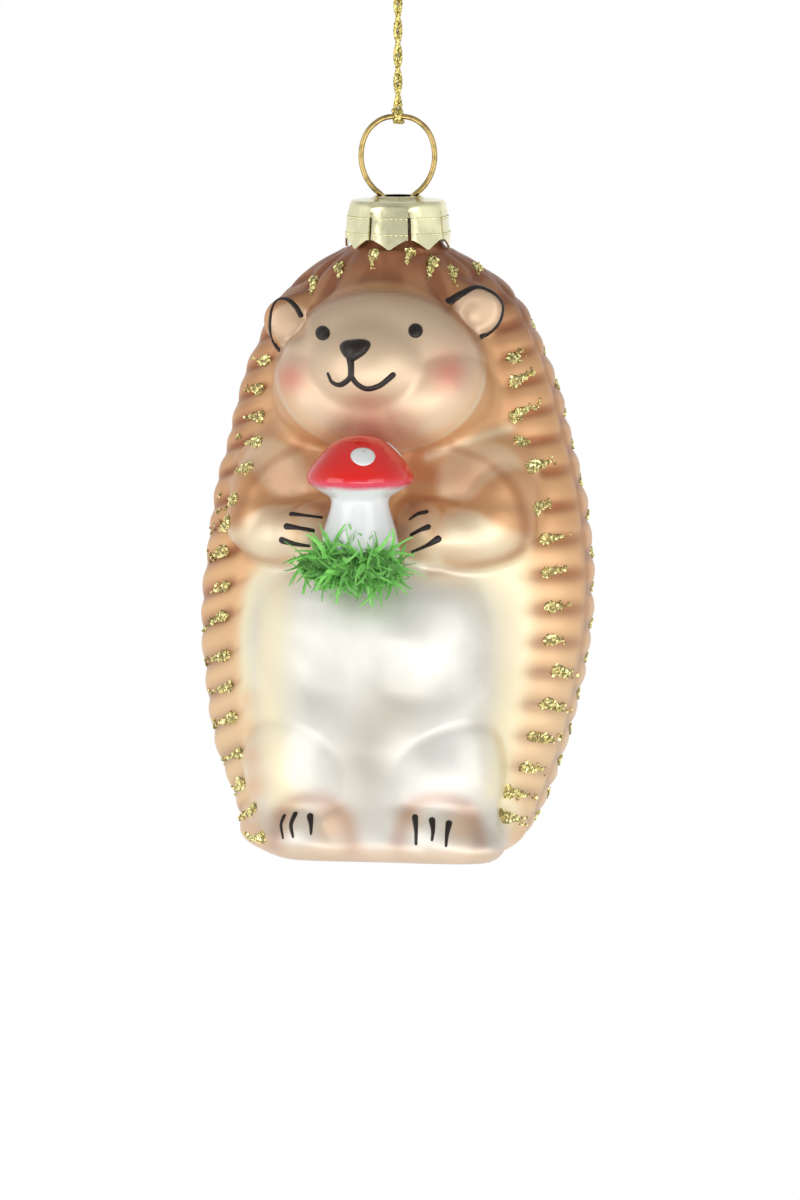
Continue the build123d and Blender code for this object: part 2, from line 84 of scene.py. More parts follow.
class GlassSettings(bpy.types.PropertyGroup):
    shoulder: length("Shoulder", "Height of the glass under the neck", 90.4)
    coat_width: length("Coat Width", "Width of the coat of quills", 59.6)
    coat_front: length("Coat Front", "Depth of the coat in front of the neck", 13.0)
    coat_back: length("Coat Back", "Depth of the coat behind the neck", 25.0)
    belly_width: length("Belly Width", "Width of the belly", 47.0)
    belly_front: length("Belly Front", "Depth of the belly in front of the neck", 22.5)
    base_round: length("Base Rounding", "Radius of the edge of the base", 3.6)
    wall: length("Wall", "Thickness of the glass", 1.3)
    neck: length("Neck", "Diameter of the neck", 12.6)
    bore: length("Neck Bore", "Diameter of the hole in the neck", 10.2)
    neck_height: length("Neck Height", "Height of the neck", 6.45)
    quill_fade: length("Quill Fade", "Height under the shoulder where the quills fade out", 2.31)
    relief: length("Quill Relief", "How far a quill stands out of the coat", 0.42)
    belly_colour: colour("Belly", "Pearl white of the belly", 231, 229, 221)
    # Cream: partly the warm edge of the belly's paint, partly painted sheen of the side lights
    cream_and_sheen_colour: colour("Cream", "Warm edge of the belly", 252, 240, 204)
    coat_colour: colour("Coat", "Peach tan of the quills", 236, 187, 135)
    # Orange brown of the airbrush, also used for painted shade in the grooves, creases and under the arms
    groove_colour: colour("Grooves", "Orange brown between the quills", 158, 90, 46)
    crown_colour: colour("Crown", "Brown of the top of the head", 140, 80, 48)
    face_colour: colour("Face", "Pearl beige of the face", 220, 194, 163)
    arm_colour: colour("Arms", "Tan of the arms", 218, 182, 146)
    blush_colour: colour("Blush", "Pink of the cheeks", 224, 118, 104)


class TrimSettings(bpy.types.PropertyGroup):
    enamel_colour: colour("Enamel", "Dark brown line paint", 40, 30, 25)
    enamel_rise: length("Enamel Rise", "How far a painted line stands proud", 0.16)
    glitter_colour: colour("Glitter", "Gold of the flakes", 226, 206, 138)
    flake: length("Flake", "Radius of a flake", 0.2)
    flake_density: FloatProperty(name="Flake Density", description="Flakes for each square millimetre",
                                 default=11.0, min=0)
    dab_rise: length("Dab Rise", "Height of a dab of glitter", 0.42)
    seed: IntProperty(name="Seed", description="Seed of everything random", default=7)


class ToadstoolSettings(bpy.types.PropertyGroup):
    red: colour("Cap Red", "Red of the cap", 234, 28, 18)
    pink: colour("Rim Pink", "Faded edge of the red", 226, 70, 100)
    white: colour("Stem White", "White of the stem and the spots", 236, 238, 238)
    grass_colour: colour("Grass", "Green of the shredded fibre", 116, 192, 86)
    blade: length("Blade", "Length of a blade of grass", 3.3)
    blade_width: length("Blade Width", "Width of a blade's foot", 1.0)
    blades: IntProperty(name="Blades", description="Blades in the tuft", default=420, min=1)


class FittingSettings(bpy.types.PropertyGroup):
    cap_colour: colour("Cap Gold", "Pale gold of the stamped cap", 242, 238, 196)
    brass_colour: colour("Brass", "Old gold of the hanger wire", 184, 160, 102)
    thread_colour: colour("Thread", "Gold of the metallic thread", 212, 192, 112)
    thread_diameter: length("Thread", "Diameter of one strand", 0.7)
    wire: length("Wire", "Diameter of the hanger wire", 0.8)
    dot: length("Dot", "Radius of an embossed dot", 0.2)


class OrnamentSettings(bpy.types.PropertyGroup):
    glass: PointerProperty(type=GlassSettings)
    trim: PointerProperty(type=TrimSettings)
    toadstool: PointerProperty(type=ToadstoolSettings)
    fittings: PointerProperty(type=FittingSettings)


# Node graphs


class Sock:
    """A socket of a node graph, so that node maths reads as a plain expression."""

    def __init__(self, graph, socket):
        self.graph = graph
        self.socket = socket

    def out(self, name):
        return Sock(self.graph, self.socket.node.outputs[name])

    def math(self, operation, first, second):
        return self.graph.node("ShaderNodeMath", {"operation": operation}, {0: first, 1: second})

    def __add__(self, other):
        return self.math("ADD", self, other)

    def __radd__(self, other):
        return self.math("ADD", other, self)

    def __sub__(self, other):
        return self.math("SUBTRACT", self, other)

    def __rsub__(self, other):
        return self.math("SUBTRACT", other, self)

    def __mul__(self, other):
        return self.math("MULTIPLY", self, other)

    def __rmul__(self, other):
        return self.math("MULTIPLY", other, self)


class Graph:
    """Adds nodes to a material's or a modifier's tree."""

    def __init__(self, tree):
        self.tree = tree

    def node(self, kind, settings=None, inputs=None, output=0):
        node = self.tree.nodes.new(kind)
        for key, value in (settings or {}).items():
            setattr(node, key, value)
        for key, value in (inputs or {}).items():
            self.feed(node.inputs[key], value)
        return Sock(self, node.outputs[output]) if node.outputs else node

    def feed(self, socket, value):
        if isinstance(value, Sock):
            self.tree.links.new(value.socket, socket)
        else:
            socket.default_value = value

    def mix(self, factor, first, second):
        """One colour over another."""
        inputs = {0: factor, 6: opaque(first), 7: opaque(second)}
        return self.node("ShaderNodeMix", {"data_type": "RGBA"}, inputs, 2)

    def step(self, low, high, value):
        """A soft step from 0 at low to 1 at high."""
        inputs = {"Value": value, "From Min": low, "From Max": high}
        return self.node("ShaderNodeMapRange", {"interpolation_type": "SMOOTHSTEP"}, inputs)

    def attribute(self, name):
        return self.node("ShaderNodeAttribute", {"attribute_name": name}, output="Fac")

    def place(self):
        return self.node("ShaderNodeTexCoord", output="Object")

    def noise(self, scale, detail=2.0):
        return self.node("ShaderNodeTexNoise", None, {"Vector": self.place(), "Scale": scale, "Detail": detail})

    def height(self):
        """The height over the base, in metres."""
        return self.node("ShaderNodeSeparateXYZ", None, {0: self.place()}, "Z")


def opaque(value):
    """A colour with full alpha, or a socket as it is."""
    return value if isinstance(value, Sock) else (*value[:3], 1.0)


def shaded(tint, share):
    return [value * share for value in tint]


def lightened(tint, share, lift):
    return [min(value * share + lift, 1) for value in tint]


def camera_rays(graph):
    """The light path, and 1 for what the camera sees straight or through something clear."""
    rays = graph.node("ShaderNodeLightPath")
    direct = rays.out("Is Camera Ray")
    return rays, direct.math("MAXIMUM", direct, rays.out("Is Transmission Ray"))


SHADER_SOCKETS = {
    "base": "Base Color", "metallic": "Metallic", "roughness": "Roughness", "coat": "Coat Weight",
    "coat_roughness": "Coat Roughness", "specular": "Specular IOR Level", "normal": "Normal",
    "sheen": "Sheen Weight",
}


class Finish(Graph):
    """A new material with one Principled shader."""

    def __init__(self, name):
        self.material = bpy.data.materials.new(name)
        self.material.use_nodes = True
        super().__init__(self.material.node_tree)
        self.shader = self.tree.nodes["Principled BSDF"]

    def set(self, **values):
        """Sets or links the shader's sockets, by their short names in SHADER_SOCKETS."""
        for key, value in values.items():
            socket = self.shader.inputs[SHADER_SOCKETS[key]]
            self.feed(socket, opaque(value) if key == "base" else value)
        return self.material

    def bump(self, height, distance, strength=1.0):
        inputs = {"Height": height, "Distance": distance, "Strength": strength}
        return self.node("ShaderNodeBump", None, inputs)


# Meshes


def add_piece(name, points, faces, material, body, replaces=(), smooth=True, attributes=None):
    """A closed mesh from points in millimetres, riding on a body of the frame."""
    mesh = bpy.data.meshes.new(name)
    mesh.from_pydata((np.asarray(points, float) * MM).tolist(), [], faces)
    mesh.polygons.foreach_set("use_smooth", [smooth] * len(mesh.polygons))
    for key, values in (attributes or {}).items():
        layer = mesh.attributes.new(key, "FLOAT", "POINT")
        layer.data.foreach_set("value", np.asarray(values, np.float32).ravel())
    mesh.materials.append(material)
    piece = bpy.data.objects.new(name, mesh)
    bpy.context.scene.collection.objects.link(piece)
    if body:
        seat_piece(piece, body, replaces)
    return piece


def seat_piece(piece, body, replaces=()):
    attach(piece, body)
    if replaces:
        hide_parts(*replaces)


def bake(piece):
    """Turns what the piece's modifiers make into its own plain mesh."""
    seen = piece.evaluated_get(bpy.context.evaluated_depsgraph_get())
    mesh = bpy.data.meshes.new_from_object(seen)
    mesh.name = piece.name
    piece.modifiers.clear()
    piece.data = mesh


def grid_faces(rows, columns, closed_rows=False):
    """Quads of a grid whose columns close on themselves, with each face turned outwards."""
    faces = []
    for i in range(rows if closed_rows else rows - 1):
        low, high = i * columns, (i + 1) % rows * columns
        for j in range(columns):
            after = (j + 1) % columns
            faces.append((low + j, low + after, high + after, high + j))
    return faces


def capped_faces(rows, columns):
    """A grid closed by a fan at each end; the two middle points come after the grid."""
    faces = grid_faces(rows, columns)
    first, last, top = rows * columns, rows * columns + 1, (rows - 1) * columns
    for j in range(columns):
        after = (j + 1) % columns
        faces.append((after, j, first))
        faces.append((top + j, top + after, last))
    return faces


def full_turn(count):
    """Even angles round a circle."""
    return np.linspace(0, 2 * math.pi, count, endpoint=False)


def turned(profile, columns, middle):
    """A closed turned shape from an outline of (radius, height) that starts and ends on the axis."""
    turns = full_turn(columns)
    rings = profile[1:-1]
    points = [
        (middle[0] + r * math.cos(t), middle[1] + r * math.sin(t), z) for r, z in rings for t in turns]
    points += [(*middle, profile[0][1]), (*middle, profile[-1][1])]
    return points, capped_faces(len(rings), columns)


def smooth_line(points, count, closed=False):
    """Evenly stepped points on a smooth line through a few given ones."""
    points = np.asarray(points, float)
    if closed:
        points = np.vstack((points[-1], points, points[:2]))
    else:
        points = np.vstack((2 * points[0] - points[1], points, 2 * points[-1] - points[-2]))
    spans = len(points) - 3
    at = np.linspace(0, spans, count, endpoint=not closed)
    index = np.minimum(at.astype(int), spans - 1)
    t = (at - index)[:, None]
    a, b, c, d = (points[index + k] for k in range(4))
    return b + 0.5 * t * (c - a + t * (2 * a - 5 * b + 4 * c - d + t * (3 * (b - c) + d - a)))


def unit(vector):
    return vector / np.linalg.norm(vector)


# The glass figure, as a reach from the neck's axis for each angle and height

# Outlines: share of the shoulder's height, share of the full width or depth
SIDE_OUTLINE = (
    (0, 0.63), (0.04, 0.72), (0.08, 0.788), (0.23, 0.936), (0.41, 1.0), (0.58, 0.952), (0.69, 0.872),
    (0.785, 0.797), (0.857, 0.708), (0.907, 0.634), (0.957, 0.488), (0.982, 0.378), (1.0, 0.275))
FRONT_OUTLINE = (
    (0, 1.0), (0.09, 0.94), (0.18, 0.91), (0.29, 1.0), (0.37, 1.0), (0.43, 0.93), (0.5, 0.76),
    (0.55, 0.70), (0.61, 0.655), (0.67, 0.655), (0.78, 0.66), (0.9, 0.54), (1.0, 0.35))
# Swellings: middle, half sizes, and how softly each one joins
FACE = ((0, -10.5, 72.8), (15.3, 10.8, 12.3), 4.0)
CHEEK = ((8.6, -11.3, 68.8), (7.2, 7.8, 7.0), 6.0)
# How much nearer the middle the left cheek sits than the right one
CHEEK_TUCK = 1.1
MUZZLE = ((0, -15.6, 74.4), (6.0, 6.9, 5.6), 9.0)
RIGHT_EAR = ((13.9, -6.2, 81.7), (3.9, 3.2, 3.7), 0.9)
LEFT_EAR = ((-15.1, -6.4, 79.7), (3.8, 3.2, 3.8), 0.9)
FOREARM = ((14.4, -13.2, 48.7), (8.8, 5.7, 4.8), 5.0)
UPPER_ARM = ((14.4, -10.0, 56.4), (7.4, 5.0, 7.0), 7.0)
ARM_TURN = math.radians(33)
ELBOW = ((16.6, -9.6, 52.4), (5.0, 5.6, 6.0), 7.0)
HAND = ((8.6, -16.4, 49.0), (4.0, 3.6, 4.2), 4.0)
THIGH = ((10.5, -11.4, 12.4), (8.0, 6.8, 8.2), 8.0)
FOOT = ((9.9, -15.0, 3.2), (5.8, 6.8, 5.2), 1.8)
BELLY_LUMP = ((5.6, -12.2, 33.4), (7.2, 6.2, 10.4), 10.0)
# How the belly joins the coat, and where it falls away at the sides
BELLY_BLEND = 4.0
BELLY_SIDE = math.radians(68)
BELLY_FALL = 40.0
# How the base spreads, squares off and joins more softly, each with its heights from none to full
BASE_SPREAD = 0.27
BASE_SQUARE = 4
BASE_SQUARING = (9, 0.5)
BASE_BLEND, BASE_BLENDING = 7.0, (14, 0)
# Where a swelling goes on as its tangent, how a pair joins, and which pairs meet in the middle
SWELLING_RIM = 0.14
PAIR_BLEND = 3.0
PAIR_NEAR = 12.0
NECK_BLEND = 1.0
CORE_WALL = 1.6
# How far the flanks, the front and the feet stand to one side, each with its heights
FLANK_SHIFT, FLANK_SHIFTING = -1.6, (52, 8)
FRONT_SHIFT, FRONT_SHIFTING = 0.8, (40, 10)
FOOT_SHIFT, FOOT_SHIFTING = 1.5, (6, 1)
FLANK_TURNS = (math.radians(40), math.radians(70))
# Heights of the grooves on each flank, read from the dabs in them
RIGHT_ROWS = (
    1.4, 6.2, 9.9, 13.5, 18.2, 23.1, 28.0, 32.5, 37.6, 42.8, 47.9, 52.8, 58.0, 62.6, 66.8, 71.4, 75.4, 79.4,
    83.2, 87.0, 91.0)
LEFT_ROWS = (
    -2.4, 1.7, 6.0, 10.1, 14.6, 19.8, 24.4, 29.2, 35.1, 39.5, 44.7, 49.3, 53.0, 57.4, 61.4, 65.1, 69.1, 73.4,
    78.0, 82.2, 86.2, 90.2)
# Columns of quills round the figure, and the rows that fan out on the right and fall on the left
QUILL_COLUMN = math.radians(76)
QUILL_COLUMN_STEP = math.radians(26)
QUILL_FRONT = (math.radians(54), math.radians(74))
QUILL_BACK = (math.radians(100), math.radians(150))
QUILL_ARC = (-8, 16)
QUILL_FAN = 0.24
QUILL_FALL = -0.38
QUILL_ROUND = 0.9
QUILL_END = 0.5
QUILL_CREST = 0.42
QUILL_FOOT = 2
FLANK_RADIUS = 26.0
# Dark streaks between the quills, in rows, and how they start, thin out and fade towards the back; they are brown
# airbrush, partly painted shade under each ridge and along the seams between the columns
STREAK = -0.06
STREAK_HALF = 0.24
STREAK_START = (-0.8, -0.35)
STREAK_THIN, STREAK_THINNING = 0.35, (0.2, 1)
STREAK_FADE, STREAK_FADING = 0.4, (0.5, 2.5)
SEAM, SEAM_FIRST, SEAM_OTHER = 0.6, (0.55, 1), (0.6, 1)
# Quills that radiate over the crown, higher up on the flanks
CROWN_RELIEF = 0.8
CROWN_START, CROWN_FULL = 77.0, 82.0
CROWN_LIFT, CROWN_LIFTING = 9.0, (math.radians(55), math.radians(80))
CROWN_FIRST, CROWN_STEP = math.radians(13), math.radians(20)
# Paint that follows the form: the coat's edge, the crown, a painted highlight on the crests and painted shade in
# the hollows
LEFT_COAT = 1.1
COAT_EDGE = (-1.5, 0.2)
CROWN_BARE = (80.5, 84.5)
CROWN_BROWN = (74.0, 83.0)
CREST_HIGHLIGHT, CREST, CREST_HEIGHTS = 0.4, (0.1, 0.9), (90, 85)
HOLLOW_SHADE, HOLLOW = 0.45, (0.1, -0.95)
UPPER_BROWN, UPPER_HEIGHTS = 0.32, (40, 80)
FACE_DEPTH, EAR_DEPTH, ARM_DEPTH = 1.6, 0.8, 1.4
PAINT_FULL = 0.05
# The unevenness of blown glass
WOBBLE, WOBBLE_RISE, WOBBLE_SWING, WOBBLE_TURNS, WOBBLE_DRIFT = 0.1, 0.55, 3, 5, 0.21
EAR_DISH = 1.3
EAR_DISH_RADIUS = 3.3
EAR_DISH_EDGE = (1.0, 0.35)
FRONT_CROWDING = 0.42


def smooth_max(first, second, blend):
    overlap = np.maximum(blend - np.abs(first - second), 0) / blend
    return np.maximum(first, second) + overlap * overlap * blend / 4


def smooth_step(low, high, value):
    share = np.clip((value - low) / (high - low), 0, 1)
    return share * share * (3 - 2 * share)


def curve_through(points, at):
    """A smooth curve through a few given points, flat at its peaks."""
    x, y = np.array(points, float).T
    slope = np.diff(y) / np.diff(x)
    before, after = slope[:-1], slope[1:]
    same_way = before * after > 0
    total = np.where(same_way, before + after, 1)
    bend = np.concatenate(([slope[0]], np.where(same_way, 2 * before * after / total, 0), [slope[-1]]))
    at = np.clip(at, x[0], x[-1])
    i = np.clip(np.searchsorted(x, at, side="right") - 1, 0, len(slope) - 1)
    width = x[i + 1] - x[i]
    t = (at - x[i]) / width
    swing = bend[i] * t * (1 - t) ** 2 - bend[i + 1] * t * t * (1 - t)
    return y[i] + (y[i + 1] - y[i]) * t * t * (3 - 2 * t) + width * swing


def row_of(rows, level):
    """The row a height falls in, counted from the lowest."""
    return np.interp(level, rows, np.arange(len(rows)))


def oval(angle, half_width, half_depth, square=2.0):
    """The reach of an oval, squarer the more the last value is over 2."""
    x, y = np.abs(np.sin(angle)) / half_width, np.abs(np.cos(angle)) / half_depth
    return (x ** square + y ** square) ** (-1 / square)


def swelling_reach(angle, height, centre, size, turn=0.0):
    """How far an ellipsoid reaches from the neck's axis, along one level ray."""
    along_x, along_y = np.sin(angle), -np.cos(angle)
    cos, sin = math.cos(turn), math.sin(turn)
    ray = ((along_x * cos + along_y * sin) / size[0], (along_y * cos - along_x * sin) / size[1])
    middle = ((centre[0] * cos + centre[1] * sin) / size[0], (centre[1] * cos - centre[0] * sin) / size[1])
    level = (height - centre[2]) / size[2]
    a = ray[0] ** 2 + ray[1] ** 2
    b = ray[0] * middle[0] + ray[1] * middle[1]
    c = middle[0] ** 2 + middle[1] ** 2 + level ** 2 - 1
    deep = (b * b - a * c) / a
    start = SWELLING_RIM ** 0.5
    beyond = start + (deep - SWELLING_RIM) / (2 * start)
    bulge = np.where(deep > SWELLING_RIM, np.sqrt(np.abs(deep)), beyond)
    reach = b / a + bulge / np.sqrt(a)
    if abs(centre[0]) < PAIR_NEAR:
        facing = np.abs(angle) < math.pi / 2
    else:
        facing = centre[0] * angle >= 0
    return np.where(facing, reach, 0)


def mirrored(centre):
    return (-centre[0], centre[1], centre[2])


class Figure:
    """The outside of the glass and the paint on it, on a grid of angles and heights."""

    def __init__(self, settings):
        self.size = {key: getattr(settings, key) / MM for key in (
            "shoulder", "coat_width", "coat_front", "coat_back", "belly_width", "belly_front",
            "base_round", "wall", "neck", "bore", "neck_height", "quill_fade", "relief")}

    def coat(self, angle, height):
        size = self.size
        swell = curve_through(SIDE_OUTLINE, height / size["shoulder"])
        depth = np.where(np.cos(angle) > 0, size["coat_front"], size["coat_back"])
        return oval(angle, swell * size["coat_width"] / 2, swell * depth)

    def belly(self, angle, height):
        size = self.size
        share = height / size["shoulder"]
        low = smooth_step(*BASE_SQUARING, height)
        half_width = size["belly_width"] / 2 * curve_through(SIDE_OUTLINE, share) * (1 + BASE_SPREAD * low)
        depth = size["belly_front"] * curve_through(FRONT_OUTLINE, share)
        beside = np.maximum(np.abs(angle) - BELLY_SIDE, 0)
        return oval(angle, half_width, depth, 2 + BASE_SQUARE * low) - BELLY_FALL * beside ** 2

    def base_inset(self, height):
        edge = self.size["base_round"]
        share = np.clip(height / edge, 0, 1)
        return edge * (1 - np.sqrt(1 - (1 - share) ** 2))

    def slope(self, angle, height):
        """How steeply the rows of quills climb towards the back."""
        half = self.size["shoulder"] / 2
        return np.where(angle > 0, QUILL_FAN * (height - half) / half, QUILL_FALL)

    def rows(self, angle, height):
        """The column of quills at each spot, and the row counted from the lowest groove."""
        turn = np.abs(angle)
        arc = np.clip((turn - QUILL_COLUMN) * FLANK_RADIUS, *QUILL_ARC)
        level = height - self.slope(angle, height) * arc
        side = np.where(angle > 0, row_of(RIGHT_ROWS, level), row_of(LEFT_ROWS, level))
        back = (row_of(RIGHT_ROWS, height) + row_of(LEFT_ROWS, height)) / 2
        along = (turn - QUILL_COLUMN) / QUILL_COLUMN_STEP + 0.5
        column = np.maximum(np.floor(along), 0)
        shift = np.where(column % 2 == 0, 0, 0.5)
        return along, column, side + (back - side) * smooth_step(*QUILL_BACK, turn) - shift

    def quills(self, angle, height):
        """Rounded ridges from -1 in a groove to 1 on a crest, and the dark streaks between them, partly painted
        shade under the ridges.
        """
        size = self.size
        turn = np.abs(angle)
        along, column, at = self.rows(angle, height)
        across = np.where(along > 0, 2 * (along - column) - 1, 0)
        ridge = np.abs(np.cos(math.pi * (at - QUILL_CREST)))
        bulge = np.cos(math.pi / 2 * np.where(column == 0, np.maximum(across, 0), across))
        side = 2 * ridge ** QUILL_ROUND * np.maximum(bulge, 0) ** QUILL_END - 1
        side *= smooth_step(*QUILL_FRONT, turn)
        depth = np.where(np.cos(angle) > 0, size["coat_front"], size["coat_back"])
        around = np.arctan2(np.sin(angle) * depth, np.cos(angle) * size["coat_width"] / 2)
        spoke = np.abs(np.cos(math.pi * (np.abs(around) - CROWN_FIRST) / CROWN_STEP))
        crown = 2 * spoke ** QUILL_ROUND - 1
        flank = CROWN_LIFT * smooth_step(*CROWN_LIFTING, turn)
        share = smooth_step(CROWN_START + flank, CROWN_FULL + flank, height)
        fade = smooth_step(0, 2 * size["base_round"], height + QUILL_FOOT)
        fade = fade * smooth_step(0, size["quill_fade"], size["shoulder"] - height)
        # The dark streaks: brown airbrush, partly painted shade under each ridge and along the seams between the
        # columns
        off = at - STREAK - np.round(at - STREAK)
        streak = np.exp(-(off / STREAK_HALF) ** 2)
        first = column == 0
        streak = streak * np.where(first, smooth_step(*STREAK_START, across), 1)
        streak = streak * (1 - STREAK_THIN * smooth_step(*STREAK_THINNING, across))
        seam = np.where(first, smooth_step(*SEAM_FIRST, across), smooth_step(*SEAM_OTHER, np.abs(across)))
        faded = 1 - STREAK_FADE * smooth_step(*STREAK_FADING, along)
        streak = np.maximum(streak * (along > 0), SEAM * seam) * (1 - share) * faded
        return fade * (side * (1 - share) + CROWN_RELIEF * crown * share), streak

    def parts(self, angle, height):
        """The reach of each mass and how softly it joins, by name."""
        def single(swelling):
            centre, size, blend = swelling
            return swelling_reach(angle, height, centre, size), blend

        def pair(swelling, turn=0.0, tuck=0.0):
            centre, size, blend = swelling
            other = mirrored((centre[0] - tuck, *centre[1:]))
            right = swelling_reach(angle, height, centre, size, turn)
            left = swelling_reach(angle, height, other, size, -turn)
            return smooth_max(right, left, PAIR_BLEND), blend

        return {
            "face": single(FACE),
            "cheek": pair(CHEEK, tuck=CHEEK_TUCK),
            "muzzle": single(MUZZLE),
            "right_ear": single(RIGHT_EAR),
            "left_ear": single(LEFT_EAR),
            "forearm": pair(FOREARM, ARM_TURN),
            "upper_arm": pair(UPPER_ARM, ARM_TURN),
            "elbow": pair(ELBOW, ARM_TURN),
            "hand": pair(HAND),
            "lump": pair(BELLY_LUMP),
            "thigh": pair(THIGH),
            "foot": pair(FOOT),
        }

    def surface(self, angle, height):
        """The reach of the outside, and the share of each paint there."""
        coat, belly = self.coat(angle, height), self.belly(angle, height)
        reach = smooth_max(coat, belly, BELLY_BLEND + BASE_BLEND * smooth_step(*BASE_BLENDING, height))
        parts = self.parts(angle, height)
        for value, blend in parts.values():
            reach = smooth_max(reach, value, blend)
        crown = smooth_step(*CROWN_BARE, height)
        margin = np.where(angle < 0, LEFT_COAT, 0)
        bare = smooth_step(*COAT_EDGE, coat - reach + margin)
        quill, streak = self.quills(angle, height)

        def share(depth, *names):
            best = np.maximum.reduce([parts[name][0] for name in names])
            return smooth_step(-depth, -PAINT_FULL * depth, best - reach)

        face = share(FACE_DEPTH, "face", "cheek", "muzzle")
        ear = share(EAR_DEPTH, "right_ear", "left_ear")
        bare = np.maximum(bare, crown * (1 - face))
        # Painted highlight on the crests of the crown, and painted shade of brown in the hollows between the
        # quills
        crest = smooth_step(*CREST, quill / CROWN_RELIEF) * smooth_step(*CREST_HEIGHTS, height)
        groove = np.maximum(streak, HOLLOW_SHADE * smooth_step(*HOLLOW, quill))
        paint = {
            "coat": bare,
            "groove": bare * np.maximum(groove, UPPER_BROWN * smooth_step(*UPPER_HEIGHTS, height)),
            "crown": bare * smooth_step(*CROWN_BROWN, height) * (1 - CREST_HIGHLIGHT * crest),
            "arm": share(ARM_DEPTH, "forearm", "upper_arm", "elbow", "hand"),
            "ear": ear,
        }
        wobble = np.sin(WOBBLE_RISE * height + WOBBLE_SWING * np.sin(2 * angle))
        wobble = wobble * np.sin(WOBBLE_TURNS * angle + WOBBLE_DRIFT * height)
        reach = reach + bare * (1 - ear) * self.size["relief"] * quill + WOBBLE * wobble - self.base_inset(height)
        necked = smooth_max(reach, self.size["neck"] / 2, NECK_BLEND)
        reach = np.where(height > CROWN_START, necked, reach)
        for centre, _, _ in (RIGHT_EAR, LEFT_EAR):
            reach = reach - self.ear_dish(angle, height, reach, centre)
        return reach, paint

    def ear_dish(self, angle, height, reach, centre):
        """How far the hollow of an ear goes in, seen from the front."""
        x, y = reach * np.sin(angle), -reach * np.cos(angle)
        cos, sin = math.cos(VIEW_AZIMUTH), math.sin(VIEW_AZIMUTH)
        across = (x - centre[0]) * cos + (y - centre[1]) * sin
        off = np.hypot(across, height - centre[2]) / EAR_DISH_RADIUS
        return EAR_DISH * smooth_step(*EAR_DISH_EDGE, off) * (centre[0] * angle > 0)

    def lean(self, angle, height):
        """How far the foot of the figure stands to one side."""
        flank = smooth_step(*FLANK_TURNS, np.abs(angle))
        front = FRONT_SHIFT * smooth_step(*FRONT_SHIFTING, height)
        front = front + FOOT_SHIFT * smooth_step(*FOOT_SHIFTING, height)
        return FLANK_SHIFT * smooth_step(*FLANK_SHIFTING, height) * flank + front * (1 - flank)

    def core(self, angle, height):
        """The inside of the wall, without quills and limbs."""
        size = self.size
        reach = smooth_max(self.coat(angle, height), self.belly(angle, height), BELLY_BLEND)
        reach = smooth_max(reach, swelling_reach(angle, height, *FACE[:2]), FACE[2])
        inset = self.base_inset(height - size["wall"])
        return np.maximum(reach - CORE_WALL * size["wall"] - inset, size["bore"] / 2)


def figure_angles(count):
    """Angles round the neck, closer together in front."""
    even = np.linspace(-math.pi, math.pi, count, endpoint=False)
    return even - FRONT_CROWDING * np.sin(even)


def polar(angle, reach, height):
    return np.stack((reach * np.sin(angle), -reach * np.cos(angle), height + 0 * reach), -1)


# Rays through the photograph's pixels


def view_axes():
    right = np.array((math.cos(VIEW_AZIMUTH), math.sin(VIEW_AZIMUTH), 0))
    back = np.array((
        math.sin(VIEW_AZIMUTH) * math.cos(VIEW_ELEVATION),
        -math.cos(VIEW_AZIMUTH) * math.cos(VIEW_ELEVATION), math.sin(VIEW_ELEVATION)))
    return right, np.cross(back, right), back


def seen_pixels(points):
    """Where points in millimetres fall in the picture."""
    right, up, back = view_axes()
    offset = np.asarray(points) - TARGET
    scale = DISTANCE / (DISTANCE - offset @ back) / PIXEL
    return PICTURE[0] / 2 + offset @ right * scale, PICTURE[1] / 2 - offset @ up * scale


def pixel_ray(x, y):
    """The camera's place and the way from it through a pixel."""
    right, up, back = view_axes()
    eye = TARGET + back * DISTANCE
    aim = TARGET + right * (x - PICTURE[0] / 2) * PIXEL + up * (PICTURE[1] / 2 - y) * PIXEL
    return eye, aim - eye


# How far in from a pixel the glass is looked for, and a reach from the axis that is clear of it
PIXEL_SEARCH = np.arange(0, 16, 0.5)
CLEAR_REACH = 60


def ray_hit(tree, start, along):
    """Where a ray meets a mesh, and the normal there."""
    place, normal, _, _ = tree.ray_cast(Vector(start), Vector(along).normalized())
    return None if place is None else (np.array(place), np.array(normal))


class Glass:
    """The finished glass mesh, to seat the trim on."""

    def __init__(self):
        mesh = bpy.data.objects["hedgehog_glass"].data
        points = [v.co / MM for v in mesh.vertices]
        self.tree = BVHTree.FromPolygons(points, [tuple(p.vertices) for p in mesh.polygons])

    def pixel(self, x, y):
        """The spot of the glass seen at a pixel of the photograph, or the nearest one on its row."""
        for inward in PIXEL_SEARCH:
            hit = ray_hit(self.tree, *pixel_ray(x + math.copysign(inward, AXIS_PIXEL - x), y))
            if hit:
                return hit
        raise RuntimeError(f"no glass near pixel {x}, {y}")

    def around(self, angle, height):
        """The spot at an angle round the neck and a height."""
        outward = np.array((math.sin(angle), -math.cos(angle), 0))
        return ray_hit(self.tree, outward * CLEAR_REACH + (0, 0, height), -outward)

    def drop(self, point):
        """The spot of the glass nearest to a point."""
        return np.array(self.tree.find_nearest(Vector(point))[0])


# A dome's sunk foot and its rings, and a line's sides, its ends as (reach, width), its tip and its lift
DOME_FOOT, DOME_SINK, DOME_RINGS = 0.8, 0.12, (1.0, 0.88, 0.65, 0.35)
LINE_SIDES = 10
LINE_ENDS = ((0.26, 0.85), (0.42, 0.5))
LINE_TIP = 0.15
LINE_LIFT_WIDTH, LINE_LIFT_MOST = 0.6, 1.3


